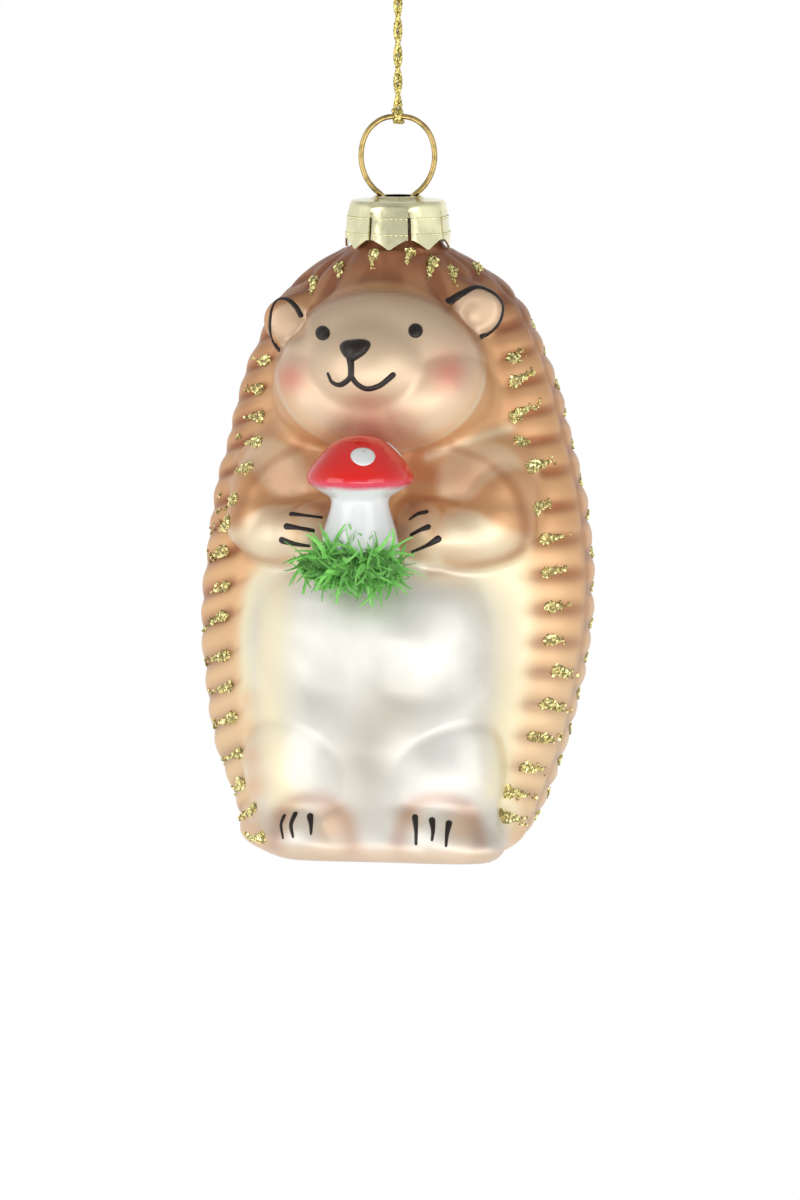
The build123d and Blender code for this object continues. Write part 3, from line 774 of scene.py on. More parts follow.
class Beads:
    """Collects drops and lines of paint that sit on the glass, as one mesh."""

    def __init__(self):
        self.points = []
        self.faces = []
        self.upper = []

    def add(self, points, faces, upper):
        start = len(self.points)
        self.points += [tuple(p) for p in points]
        self.faces += [tuple(i + start for i in face) for face in faces]
        self.upper += list(upper)

    def dome(self, outline, middle, normal, rise, sink=DOME_SINK, rings=DOME_RINGS):
        """A low dome over an outline that lies on the glass."""
        outline = np.asarray(outline)
        count = len(outline)
        rows = [middle + (outline - middle) * DOME_FOOT - normal * sink]
        rows += [
            middle + (outline - middle) * ring + normal * rise * math.sqrt(1 - ring * ring) for ring in rings]
        points = np.vstack((*rows, middle - normal * sink, middle + normal * rise))
        upper = [0] * (2 * count) + [1] * (count * (len(rows) - 2)) + [0, 1]
        self.add(points, capped_faces(len(rows), count), upper)

    def line(self, places, normals, widths, rise):
        """A rounded bead along places on the glass, as wide as widths say."""
        places, normals, widths = (np.asarray(v, float) for v in (places, normals, widths))
        along = np.gradient(places, axis=0)
        first, last = unit(along[0]) * widths[0], unit(along[-1]) * widths[-1]
        places = np.vstack((
            *(places[0] - first * out for out, _ in LINE_ENDS[::-1]), places,
            *(places[-1] + last * out for out, _ in LINE_ENDS)))
        normals = np.vstack((*[normals[0]] * len(LINE_ENDS), normals, *[normals[-1]] * len(LINE_ENDS)))
        widths = np.concatenate((
            [widths[0] * share for _, share in LINE_ENDS[::-1]], widths,
            [widths[-1] * share for _, share in LINE_ENDS]))
        along = np.gradient(places, axis=0)
        turns = full_turn(LINE_SIDES)
        rows = []
        for place, normal, way, width in zip(places, normals, along, widths):
            across = unit(np.cross(unit(way), normal))
            lift = rise * min(width / LINE_LIFT_WIDTH, LINE_LIFT_MOST)
            rows.append([
                place + across * (width / 2 * math.cos(t)) + normal * (lift * math.sin(t)) for t in turns])
        tips = (
            places[0] - unit(along[0]) * widths[0] * LINE_TIP,
            places[-1] + unit(along[-1]) * widths[-1] * LINE_TIP)
        points = np.vstack((*rows, *tips))
        self.add(points, capped_faces(len(rows), len(turns)), [1] * len(points))


# Geometry node trees


def new_tree(name, inputs):
    """A geometry tree with one mesh in and out, and named inputs as (name, type)."""
    tree = bpy.data.node_groups.new(name, "GeometryNodeTree")
    tree.interface.new_socket("Geometry", in_out="INPUT", socket_type="NodeSocketGeometry")
    for label, kind in inputs:
        tree.interface.new_socket(label, in_out="INPUT", socket_type=kind)
    tree.interface.new_socket("Geometry", in_out="OUTPUT", socket_type="NodeSocketGeometry")
    graph = Graph(tree)
    return graph, graph.node("NodeGroupInput")


def close_tree(graph, geometry, material):
    """Ends a tree with real geometry in one material."""
    real = graph.node("GeometryNodeRealizeInstances", None, {0: geometry})
    painted = graph.node("GeometryNodeSetMaterial", None, {"Geometry": real, "Material": material})
    graph.node("NodeGroupOutput", None, {0: painted})


def run_tree(piece, graph, values):
    """Runs a tree on a piece and keeps the result as its plain mesh."""
    modifier = piece.modifiers.new(graph.tree.name, "NODES")
    modifier.node_group = graph.tree
    for item in graph.tree.interface.items_tree:
        if item.in_out == "INPUT" and item.name in values:
            modifier[item.identifier] = values[item.name]
    bake(piece)


def random_value(graph, low, high, seed):
    return graph.node("FunctionNodeRandomValue", {"data_type": "FLOAT"}, {2: low, 3: high, 8: seed}, 1)


def random_turn(graph, turn, seed):
    limits = {0: tuple(-t for t in turn), 1: turn, 8: seed}
    return graph.node("FunctionNodeRandomValue", {"data_type": "FLOAT_VECTOR"}, limits, 0)


def scatter(graph, start, spots, item, scale, turn, mark):
    """Puts an item on each spot at a random size and turn, marked with a random value, over the mesh itself."""
    seed = start.out("Seed")
    items = graph.node("GeometryNodeInstanceOnPoints", None, {
        "Points": spots, "Instance": item, "Rotation": spots.out("Rotation"),
        "Scale": random_value(graph, *scale, seed)})
    tilted = graph.node("GeometryNodeRotateInstances", None, {
        "Instances": items, "Rotation": random_turn(graph, turn, seed)})
    marked = graph.node("GeometryNodeStoreNamedAttribute", {"data_type": "FLOAT", "domain": "INSTANCE"}, {
        "Geometry": tilted, "Name": mark, "Value": random_value(graph, 0.0, 1.0, seed)})
    joined = graph.node("GeometryNodeJoinGeometry")
    for source in (start.out("Geometry"), marked):
        graph.tree.links.new(source.socket, joined.socket.node.inputs[0])
    close_tree(graph, joined, start.out("Material"))


FLAKE_SIDES, FLAKE_THICKNESS = 6, 0.35
FLAKE_SCALE, FLAKE_TURN = (0.55, 1.3), (0.75, 0.75, 3.1)
BLADE_SIDES, BLADE_SEGMENTS = 4, 7
BLADE_TIP, BLADE_FOOT = 0.2, 0.5
BLADE_BEND, BLADE_FLATTEN = 230.0, -0.75
BLADE_SCALE, BLADE_TURN = (0.5, 1.2), (1.2, 1.2, 3.1)


def flake_tree():
    """Scatters six-sided flakes over the upper side of dabs."""
    graph, start = new_tree("glitter_flakes", (
        ("Density", "NodeSocketFloat"), ("Radius", "NodeSocketFloat"), ("Seed", "NodeSocketInt"),
        ("Material", "NodeSocketMaterial")))
    upper = graph.node("GeometryNodeInputNamedAttribute", {"data_type": "FLOAT"}, {"Name": "upper"})
    spots = graph.node("GeometryNodeDistributePointsOnFaces", None, {
        "Mesh": start.out("Geometry"), "Selection": upper.math("GREATER_THAN", upper, 0.5),
        "Density": start.out("Density"), "Seed": start.out("Seed")})
    radius = start.out("Radius")
    flake = graph.node("GeometryNodeMeshCylinder", None, {
        "Vertices": FLAKE_SIDES, "Radius": radius, "Depth": radius * FLAKE_THICKNESS})
    scatter(graph, start, spots, flake, FLAKE_SCALE, FLAKE_TURN, "sparkle")
    return graph


def blade_tree():
    """Scatters bent blades over a mound."""
    graph, start = new_tree("grass_blades", (
        ("Density", "NodeSocketFloat"), ("Length", "NodeSocketFloat"), ("Width", "NodeSocketFloat"),
        ("Seed", "NodeSocketInt"), ("Material", "NodeSocketMaterial")))
    spots = graph.node("GeometryNodeDistributePointsOnFaces", None, {
        "Mesh": start.out("Geometry"), "Density": start.out("Density"), "Seed": start.out("Seed")})
    width = start.out("Width")
    blade = graph.node("GeometryNodeMeshCone", None, {
        "Vertices": BLADE_SIDES, "Side Segments": BLADE_SEGMENTS, "Radius Top": width * BLADE_TIP,
        "Radius Bottom": width * BLADE_FOOT, "Depth": start.out("Length")})
    axes = graph.node("ShaderNodeSeparateXYZ", None, {0: graph.node("GeometryNodeInputPosition")})
    up = axes.out("Z")
    bend = graph.node("ShaderNodeCombineXYZ", None, {
        "X": up * up * BLADE_BEND, "Y": axes.out("Y") * BLADE_FLATTEN})
    bent = graph.node("GeometryNodeSetPosition", None, {"Geometry": blade, "Offset": bend})
    scatter(graph, start, spots, bent, BLADE_SCALE, BLADE_TURN, "shade")
    return graph


def dot_tree():
    """Puts a small round dot on each loose point of a mesh."""
    graph, start = new_tree("embossed_dots", (("Radius", "NodeSocketFloat"), ("Material", "NodeSocketMaterial")))
    dot = graph.node("GeometryNodeMeshIcoSphere", None, {"Radius": start.out("Radius"), "Subdivisions": 2})
    dots = graph.node("GeometryNodeInstanceOnPoints", None, {"Points": start.out("Geometry"), "Instance": dot})
    close_tree(graph, dots, start.out("Material"))
    return graph


# Finishes


# Tints that aren't settings: grey shadow on the belly, silvered inside, specks, glue and floor
GREY_SHADE = (0.53, 0.5, 0.45)
SILVER = (0.78, 0.77, 0.74)
SPECK = (0.45, 0.47, 0.44)
GLUE_TINTS = ((0.72, 0.7, 0.62), (0.85, 0.83, 0.76))
FLOOR_TINTS = ((0.8, 0.8, 0.79), (0.84, 0.84, 0.83))


def painted_glass(glass):
    """Pearl lacquer sprayed over silvered glass, with browns shaded into each other, and with painted shade and
    painted highlights laid into the paint.
    """
    finish = Finish("painted_glass")
    mottle = finish.noise(90, 3.0)
    fine = finish.noise(420, 2.0)
    cloudy = finish.step(0.38, 0.66, mottle)
    white = glass.belly_colour
    paint = finish.mix(cloudy, shaded(white, 0.86), white)
    belly_shade = [value * share for value, share in zip(white, GREY_SHADE)]
    # Painted shade: grey in the hollows of the belly
    paint = finish.mix(finish.attribute("belly_shade"), paint, belly_shade)
    # Cream along the belly's sides: partly the warm edge of the paint, partly painted sheen of the side lights
    paint = finish.mix(finish.attribute("edge"), paint, glass.cream_and_sheen_colour)
    coat = finish.mix(finish.attribute("groove"), glass.coat_colour, glass.groove_colour)
    coat = finish.mix(finish.attribute("crown") * (0.75 + 0.25 * mottle), coat, glass.crown_colour)
    for name, tint in (
            ("coat", coat), ("arm", glass.arm_colour), ("foot", glass.arm_colour), ("face", glass.face_colour),
            ("ear", glass.face_colour)):
        paint = finish.mix(finish.attribute(name), paint, tint)
    paint = finish.mix(finish.attribute("brown") * (0.8 + 0.3 * mottle), paint, glass.groove_colour)
    paint = finish.mix(finish.attribute("blush"), paint, glass.blush_colour)
    inside = finish.attribute("inside")
    paint = finish.mix(inside, paint, SILVER)
    roughness = 0.41 + 0.1 * fine - 0.2 * inside
    metallic = 0.42 + 0.5 * inside
    normal = finish.bump(mottle + 0.25 * fine, 0.0002, 0.35)
    return finish.set(
        base=paint, roughness=roughness, metallic=metallic, coat=0.2, coat_roughness=0.18, normal=normal)


def dark_enamel(trim):
    finish = Finish("dark_enamel")
    tone = finish.noise(900, 2.0)
    base = finish.mix(tone, trim.enamel_colour, shaded(trim.enamel_colour, 0.4))
    return finish.set(base=base, roughness=0.3 + 0.15 * tone, specular=0.35)


def gold_glitter(trim):
    """Flakes of one gold, each lighter or darker at random as painted glints and painted shade, over clear glue.
    """
    finish = Finish("gold_glitter")
    sparkle = finish.attribute("sparkle")
    # Painted shade and painted glints: darker and paler copies of the one gold
    dark = shaded(trim.glitter_colour, 0.42)
    pale = lightened(trim.glitter_colour, 1.5, 0.12)
    base = finish.mix(finish.step(0.05, 0.6, sparkle), dark, trim.glitter_colour)
    base = finish.mix(finish.step(0.6, 0.85, sparkle), base, pale)
    return finish.set(base=base, metallic=0.75, roughness=0.18 + 0.22 * sparkle)


def toadstool_lacquer(stool, rim):
    """Red lacquer that fades through pink to white under the rim."""
    finish = Finish("toadstool_lacquer")
    ragged = finish.height() + 0.0007 * finish.noise(520, 3.0)
    pink = finish.mix(finish.step((rim - 0.9) * MM, (rim + 0.15) * MM, ragged), stool.white, stool.pink)
    base = finish.mix(finish.step((rim - 0.1) * MM, (rim + 1.3) * MM, ragged), pink, stool.red)
    cloud = finish.noise(160, 2.0)
    return finish.set(
        base=base, roughness=0.06 + 0.08 * cloud, coat=0.25, coat_roughness=0.03,
        normal=finish.bump(cloud, 0.0003, 0.2))


def spot_white(stool):
    finish = Finish("spot_white")
    speck = finish.step(0.66, 0.74, finish.noise(1300, 1.0))
    base = finish.mix(speck * 0.5, stool.white, SPECK)
    return finish.set(base=base, roughness=0.25, coat=0.5, coat_roughness=0.08)


def grass_fibre(stool):
    finish = Finish("grass_fibre")
    shade = finish.attribute("shade")
    deep = shaded(stool.grass_colour, 0.55)
    pale = lightened(stool.grass_colour, 1.4, 0.02)
    base = finish.mix(finish.step(0.0, 0.55, shade), deep, stool.grass_colour)
    base = finish.mix(finish.step(0.6, 1.0, shade), base, pale)
    fibre = finish.noise(2600, 2.0)
    return finish.set(
        base=base, roughness=0.5 + 0.2 * fibre, sheen=0.2, normal=finish.bump(fibre, 0.0002, 0.4))


def stamped_gold(fittings):
    """Thin bright plate with the small dents and scuffs of a stamped cap."""
    finish = Finish("stamped_gold")
    dent = finish.noise(260, 2.0)
    scuff = finish.noise(1500, 3.0)
    gold = fittings.cap_colour
    tone = finish.mix(finish.step(0.35, 0.65, dent), gold, shaded(gold, 0.8))
    return finish.set(
        base=tone, metallic=1.0, roughness=0.14 + 0.14 * scuff, normal=finish.bump(dent, 0.0008, 0.3))


def brass_wire(fittings):
    finish = Finish("brass_wire")
    tarnish = finish.noise(700, 3.0)
    dark = shaded(fittings.brass_colour, 0.6)
    base = finish.mix(finish.step(0.45, 0.7, tarnish), fittings.brass_colour, dark)
    return finish.set(base=base, metallic=1.0, roughness=0.22 + 0.2 * tarnish)


def metallic_thread(fittings):
    """Flat gold ribbon spun on a core, with painted glints on the facets and painted shade in the gaps between
    them.
    """
    finish = Finish("metallic_thread")
    facet = finish.noise(2300, 1.0)
    # Painted shade and painted glints: darker and paler copies of the thread's gold
    dark = shaded(fittings.thread_colour, 0.4)
    pale = lightened(fittings.thread_colour, 1.6, 0.1)
    base = finish.mix(finish.step(0.36, 0.52, facet), dark, fittings.thread_colour)
    base = finish.mix(finish.step(0.58, 0.68, facet), base, pale)
    return finish.set(base=base, metallic=0.8, roughness=0.24, normal=finish.bump(facet, 0.0003, 0.8))


def clear_glue():
    finish = Finish("clear_glue")
    cloud = finish.noise(600, 2.0)
    base = finish.mix(cloud, *GLUE_TINTS)
    return finish.set(base=base, roughness=0.2 + 0.15 * cloud, coat=0.4)


# Thread


STRAND_FOOT, STRAND_LENGTH = 111.53, 31.0
STRAND_OFFSET = 0.38
STRAND_TURNS = 4
STRAND_STEPS = 12 * STRAND_TURNS
RING_TOP = 110.25
RING_YAW = math.radians(14)
HITCH_RADIUS = 0.87
HITCH_TURNS = 2.5
HITCH_WIDTH = 1.3
KNOT_MIDDLE = 143.69
KNOT_SCALE = 0.36
EYE_FOOT = 144.85
EYE_ROUTE = (
    (-0.4, 0), (-1.0, 2.2), (-2.25, 4.6), (-2.1, 7.0), (0, 7.9), (2.1, 7.0), (2.25, 4.6), (1.0, 2.2), (0.4, 0))
HITCH_POINTS, KNOT_POINTS, EYE_POINTS, STRAND_POINTS = 80, 120, 110, 260
# One turn of the plies in millimetres, their depth as shares of the radius, and a way to start from
PLY_TWIST = 1.7
PLY_CORE, PLY_BULGE = 0.72, 0.32
PLY_START = (0.31, 0.87, 0.39)


def ring_plane(points):
    """Points (along the ring, across it, height) turned into the frame."""
    points = np.asarray(points, float)
    cos, sin = math.cos(RING_YAW), math.sin(RING_YAW)
    x, y = points[:, 0], points[:, 1]
    return np.stack((x * cos - y * sin, x * sin + y * cos, points[:, 2]), -1)


def nurbs_line(name, points, count):
    """Even points read from a smooth spline that has the given control points."""
    curve = bpy.data.curves.new(name, "CURVE")
    curve.dimensions = "3D"
    curve.resolution_u = 24
    spline = curve.splines.new("NURBS")
    spline.points.add(len(points) - 1)
    for knot, point in zip(spline.points, points):
        knot.co = (*(c * MM for c in point), 1)
    spline.order_u = 3
    spline.use_endpoint_u = True
    holder = bpy.data.objects.new(name, curve)
    bpy.context.scene.collection.objects.link(holder)
    seen = holder.evaluated_get(bpy.context.evaluated_depsgraph_get())
    mesh = bpy.data.meshes.new_from_object(seen)
    line = np.array([v.co for v in mesh.vertices]) / MM
    bpy.data.objects.remove(holder)
    bpy.data.curves.remove(curve)
    bpy.data.meshes.remove(mesh)
    run = np.concatenate(([0], np.cumsum(np.linalg.norm(np.diff(line, axis=0), axis=1))))
    at = np.linspace(0, run[-1], count)
    return np.stack([np.interp(at, run, line[:, k]) for k in range(3)], -1)


def plied_tube(path, radius, closed=False, plies=3, sides=15):
    """A tube of plies twisted round each other along a path."""
    path = np.asarray(path, float)
    along = np.roll(path, -1, 0) - np.roll(path, 1, 0) if closed else np.gradient(path, axis=0)
    along /= np.linalg.norm(along, axis=1)[:, None]
    steps = np.linalg.norm(np.diff(path, axis=0), axis=1)
    run = np.concatenate(([0], np.cumsum(steps)))
    side = unit(np.cross(along[0], PLY_START))
    turns = full_turn(sides)
    rows = []
    for place, way, at in zip(path, along, run):
        side = unit(side - way * (side @ way))
        other = np.cross(way, side)
        spin = 2 * math.pi * at / PLY_TWIST
        reach = radius * (PLY_CORE + PLY_BULGE * np.abs(np.cos(plies * (turns - spin) / 2)))
        rows.append(
            place + (np.cos(turns) * reach)[:, None] * side + (np.sin(turns) * reach)[:, None] * other)
    if closed:
        return np.vstack(rows), grid_faces(len(rows), sides, True)
    return np.vstack((*rows, path[0], path[-1])), capped_faces(len(rows), sides)


class ORNAMENT_OT_thread(bpy.types.Operator):
    """Spins the gold thread: the hitch on the ring, two strands, the knot and the eye"""
    bl_idname = "ornament.thread"
    bl_label = "Gold Thread"

    def execute(self, context):
        fittings = context.scene.ornament.fittings
        gold = metallic_thread(fittings)
        radius = fittings.thread_diameter / MM / 2
        winds = np.linspace(0, 2 * math.pi * HITCH_TURNS, HITCH_POINTS)
        hitch_path = ring_plane([
            (HITCH_WIDTH * (t / winds[-1] - 0.5), HITCH_RADIUS * math.sin(t),
             RING_TOP + HITCH_RADIUS * math.cos(t))
            for t in winds])
        t = full_turn(KNOT_POINTS)
        knot_path = ring_plane(np.stack((
            KNOT_SCALE * (np.sin(t) + 2 * np.sin(2 * t)), KNOT_SCALE * (np.cos(t) - 2 * np.cos(2 * t)),
            KNOT_MIDDLE - 2 * KNOT_SCALE * np.sin(3 * t)), -1))
        eye_route = ring_plane([(x, 0, EYE_FOOT + z) for x, z in EYE_ROUTE])
        eye_path = nurbs_line("eye_route", eye_route, EYE_POINTS)
        for name, path, closed in (
                ("thread_hitch", hitch_path, False), ("thread_knot", knot_path, True),
                ("thread_eye", eye_path, False)):
            points, faces = plied_tube(path, radius, closed)
            add_piece("gold_" + name, points, faces, gold, "thread", [name])
        for side, name in ((-1, "thread_left"), (1, "thread_right")):
            route = []
            for i in range(STRAND_STEPS + 1):
                share = i / STRAND_STEPS
                turn = 2 * math.pi * STRAND_TURNS * share
                route.append((
                    side * STRAND_OFFSET * math.cos(turn), side * STRAND_OFFSET * math.sin(turn),
                    STRAND_FOOT + STRAND_LENGTH * share))
            path = nurbs_line(name, ring_plane(route), STRAND_POINTS)
            points, faces = plied_tube(path, radius)
            strand = add_piece("gold_" + name, points, faces, gold, "thread", [name])
        return {"FINISHED"}


# Glass


# Soft spots of paint, among them painted shade and painted highlights: x, y, radius in pixels and strength
BLUSH_SPOTS = ((289, 378, 17, 0.62), (449, 372, 20, 0.62), (374, 418, 18, 0.06))
UPPER_ARM_SPOTS = ((468, 480, 40, 0.52), (280, 484, 36, 0.52))
# Painted highlights on the forearms, where the arms' tan is taken off
FOREARM_HIGHLIGHTS = (
    (490, 532, 30, 0.9), (450, 536, 18, 0.5), (262, 538, 26, 0.8), (300, 538, 20, 0.5))
# Airbrush strokes of brown round the arms, the feet and the sides of the head, partly painted shade under the
# forearms and in the creases at the hands: points, half width in pixels, and strength
BROWN_STROKES = (
    (((452, 447), (486, 462), (512, 486), (523, 512), (526, 535)), 7, 0.6),
    (((526, 535), (515, 554), (480, 566), (430, 572)), 6, 0.45),
    (((412, 503), (432, 499), (458, 503)), 5, 0.6),
    (((300, 446), (268, 466), (246, 492), (236, 522)), 8, 0.6),
    (((238, 545), (256, 560), (290, 566)), 6, 0.4),
    (((282, 503), (300, 500), (322, 507)), 5, 0.5),
    (((276, 842), (281, 815), (300, 800), (325, 800), (345, 818), (352, 844)), 10, 0.46),
    (((398, 842), (406, 814), (425, 800), (452, 800), (472, 815), (480, 842)), 10, 0.46),
    (((270, 330), (252, 380), (240, 430)), 9, 0.35),
    (((500, 345), (512, 400), (516, 430)), 9, 0.3),
)
# Painted shade in the hollows of the belly, between its lumps and the thighs
BELLY_SHADE_SPOTS = (
    (388, 712, 40, 0.8), (360, 768, 36, 0.75), (376, 822, 30, 0.4), (318, 690, 26, 0.3), (440, 690, 24, 0.25))
TAN_SPOTS = ((330, 824, 22, 0.8), (462, 826, 20, 0.8), (284, 818, 14, 0.6), (412, 818, 14, 0.6))
COAT_SPOTS = (
    (244, 700, 13, 0.55), (246, 728, 13, 0.6), (250, 756, 13, 0.65), (254, 784, 14, 0.65),
    (535, 790, 14, 0.4), (240, 806, 16, 0.7), (248, 832, 18, 0.75), (262, 850, 16, 0.6),
    (536, 822, 18, 0.7), (522, 842, 18, 0.7))
# Cream beside the belly, partly the warm edge of the paint and partly painted sheen of the side lights, and a
# painted highlight along the right shoulder with what it takes off the paints below
CREAM_SHEEN_STROKES = (
    (((274, 590), (268, 660), (270, 730), (282, 800)), 20, 0.95),
    (((508, 600), (510, 690), (498, 790)), 16, 0.9))
CREAM_EDGE = (-7.5, -1.0)
# Painted highlight along the right shoulder, and how much it takes off the coat and the arms
SHOULDER_HIGHLIGHT = (((428, 456), (458, 447), (486, 436), (510, 428)), 5)
HIGHLIGHT_OFF_COAT, HIGHLIGHT_OFF_ARM = 0.6, 0.5
# The face: middle and half sizes in pixels, its edge as shares of them, and the tan glow along its lower rim
FACE_OVAL = (380.5, 371.5, 102, 79)
FACE_EDGE = (1.06, 0.97)
GLOW, GLOW_RIM, GLOW_ROWS = 0.75, (0.74, 1.0), (330, 390)
RING_AT, RING_HALF, RING_BROWN = 1.02, 0.05, 0.75
RIM_BROWN, RIM = 0.2, (0.75, 1.0)
EAR_DISCS = ((478, 313, 26), (290, 324, 22))
EAR_EDGE, EAR_BROWN, EAR_HEIGHTS = 0.85, 0.2, (74, 76)
# Where the paint from the photograph may lie, as depths and heights
FRONT_DEPTHS = (0, -3)
UPPER_BODY, UPPER_GROOVE = (44, 50), 0.28
FOOT_HEIGHTS = (11, 7.5)
BELLY_SHADE_HEIGHTS = (42, 36)
COAT_FADE, COAT_FADING = 0.32, (46, 14)
BASE_COAT, BASE_COAT_HEIGHTS = 0.5, (4, 1)
# The mesh: columns, rows of the base's edge, of the sides and inside, rings of the floor, and the neck
GLASS_COLUMNS, EDGE_ROWS, SIDE_ROWS, INNER_ROWS = 320, 12, 204, 26
FLOOR_RINGS = (0.25, 0.5, 0.75, 0.92)
INNER_FLOOR = 0.5
NECK_COVE = ((1.0, 0.3), (0.6, 0.7), (0.25, 1.4), (0.0, 2.2))
# The lip, as steps in from the neck and below its top, and then out from the bore
LIP_OUTSIDE = ((0, 0.5), (0.2, 0.1), (0.5, 0))
LIP_INSIDE = ((0.2, 0), (0, 0.3))
BORE_DROP = 0.3


def spots_share(x, y, spots):
    """Soft round spots of paint, of painted shade and of painted highlight, as (x, y, radius, strength) in
    pixels.
    """
    return sum(
        strength * np.exp(-((x - at_x) ** 2 + (y - at_y) ** 2) / radius ** 2)
        for at_x, at_y, radius, strength in spots)


def near_line(x, y, pixels, width):
    """1 on a line through pixels, fading over a width."""
    nearest = np.full_like(x, np.inf)
    line = smooth_line(pixels, 8 * len(pixels))
    for (x0, y0), (x1, y1) in zip(line[:-1], line[1:]):
        share = ((x - x0) * (x1 - x0) + (y - y0) * (y1 - y0)) / ((x1 - x0) ** 2 + (y1 - y0) ** 2)
        share = np.clip(share, 0, 1)
        nearest = np.minimum(nearest, np.hypot(x - x0 - share * (x1 - x0), y - y0 - share * (y1 - y0)))
    return np.exp(-(nearest / width) ** 2)


class ORNAMENT_OT_glass(bpy.types.Operator):
    """Blows the glass hedgehog and shades its paint"""
    bl_idname = "ornament.glass"
    bl_label = "Glass Hedgehog"

    def execute(self, context):
        settings = context.scene.ornament.glass
        figure = Figure(settings)
        size = figure.size
        angles = figure_angles(GLASS_COLUMNS)
        heights = np.concatenate((
            size["base_round"] * (1 - np.cos(np.linspace(0, math.pi / 2, EDGE_ROWS))),
            np.linspace(size["base_round"], size["shoulder"], SIDE_ROWS)[1:]))
        angle, height = np.meshgrid(angles, heights)
        reach, paint = figure.surface(angle, height)
        outside = polar(angle, reach, height)
        outside[..., 0] += figure.lean(angle, height)
        floor = [outside[0] * (share, share, 1) for share in FLOOR_RINGS]
        neck_top = size["shoulder"] + size["neck_height"]
        half, bore = size["neck"] / 2, size["bore"] / 2
        profile = [(half + out, size["shoulder"] + rise) for out, rise in NECK_COVE]
        profile += [(half - step, neck_top - drop) for step, drop in LIP_OUTSIDE]
        profile += [(bore + step, neck_top - drop) for step, drop in LIP_INSIDE]
        profile.append((bore, size["shoulder"] - BORE_DROP))
        neck = [polar(angles, np.full(GLASS_COLUMNS, r), z) for r, z in profile]
        inner = []
        for z in np.linspace(size["shoulder"] - size["wall"], size["wall"], INNER_ROWS):
            level = np.full(GLASS_COLUMNS, z)
            inner.append(polar(angles, figure.core(angles, level), z))
            inner[-1][:, 0] += figure.lean(angles, level)
        inner.append(inner[-1] * (INNER_FLOOR, INNER_FLOOR, 1))
        rows = [*floor, *outside, *neck, *inner]
        points = np.vstack((*rows, (0, 0, 0), (0, 0, size["wall"])))
        belly_edge = figure.coat(angle, height) - figure.belly(angle, height)
        shares = self.paint_shares(paint, outside, height, belly_edge)
        whole = self.whole_shares(shares, len(floor), len(neck) + len(inner))
        add_piece(
            "hedgehog_glass", points, capped_faces(len(rows), GLASS_COLUMNS), painted_glass(settings), "figure",
            ["glass_body"], attributes=whole)
        return {"FINISHED"}

    def paint_shares(self, paint, outside, height, belly_edge):
        """Each paint's share for every point of the outside."""
        x, y = seen_pixels(outside)
        front = smooth_step(*FRONT_DEPTHS, outside[..., 1])

        def spots(places):
            return front * spots_share(x, y, places)

        def stroked(share, strokes):
            for pixels, width, strength in strokes:
                share = np.maximum(share, strength * front * near_line(x, y, pixels, width))
            return share

        middle_x, middle_y, half_x, half_y = FACE_OVAL
        off = np.hypot((x - middle_x) / half_x, (y - middle_y) / half_y)
        face = front * smooth_step(*FACE_EDGE, off)
        glow = GLOW * smooth_step(*GLOW_RIM, off) * smooth_step(*GLOW_ROWS, y)
        ring = front * np.exp(-((off - RING_AT) / RING_HALF) ** 2) * (1 - paint["ear"])
        rim = RIM_BROWN * face * smooth_step(*RIM, off) * (1 - glow)
        brown = np.maximum(RING_BROWN * ring * (1 - glow), rim)
        # Brown airbrush, partly painted shade under the forearms and in the creases at the hands
        brown = stroked(np.maximum(brown, spots(UPPER_ARM_SPOTS)), BROWN_STROKES)
        ears = [smooth_step(r, EAR_EDGE * r, np.hypot(x - at_x, y - at_y)) for at_x, at_y, r in EAR_DISCS]
        ear = front * np.maximum(*ears) * smooth_step(*EAR_HEIGHTS, height)
        upper = smooth_step(*UPPER_BODY, height) * (1 - face) * (1 - paint["arm"])
        # Painted highlight along the right shoulder, which takes paint off the coat and the arms
        pale = front * near_line(x, y, *SHOULDER_HIGHLIGHT)
        faded = 1 - COAT_FADE * smooth_step(*COAT_FADING, height)
        coat = np.maximum(paint["coat"], upper) * (1 - face) * faded
        coat = np.maximum(np.maximum(coat, glow * face), spots(COAT_SPOTS))
        coat = np.maximum(coat, BASE_COAT * smooth_step(*BASE_COAT_HEIGHTS, height))
        return {
            "coat": coat * (1 - HIGHLIGHT_OFF_COAT * pale),
            "groove": np.maximum(paint["groove"], UPPER_GROOVE * front * upper),
            "crown": paint["crown"],
            "face": face * (1 - glow),
            # painted highlights on the forearms take off the tan
            "arm": paint["arm"] * (1 - spots(FOREARM_HIGHLIGHTS)) * (1 - HIGHLIGHT_OFF_ARM * pale),
            "foot": spots(TAN_SPOTS) * smooth_step(*FOOT_HEIGHTS, height),
            "ear": ear,
            "blush": spots(BLUSH_SPOTS) * face,
            "brown": np.maximum(brown, EAR_BROWN * ear),
            # cream along the belly's sides, partly painted sheen of the side lights
            "edge": stroked(smooth_step(*CREAM_EDGE, belly_edge), CREAM_SHEEN_STROKES),
            # painted shade in the hollows of the belly
            "belly_shade": spots(BELLY_SHADE_SPOTS) * smooth_step(*BELLY_SHADE_HEIGHTS, height),
        }

    def whole_shares(self, shares, floor_rows, other_rows):
        """The shares carried on to the floor, the neck and the inside, with the share that is bare inside."""
        cove_rows = len(NECK_COVE)
        bare = np.zeros((other_rows - cove_rows, GLASS_COLUMNS))
        whole = {}
        for name, grid in shares.items():
            low, cove = np.repeat(grid[:1], floor_rows, 0), np.repeat(grid[-1:], cove_rows, 0)
            whole[name] = np.concatenate((np.vstack((low, grid, cove, bare)).ravel(), (grid[0, 0], 0)))
        painted = np.zeros((floor_rows + len(grid) + cove_rows, GLASS_COLUMNS))
        whole["inside"] = np.concatenate((np.concatenate((painted, bare + 1)).ravel(), (0, 1)))
        return whole


# Enamel


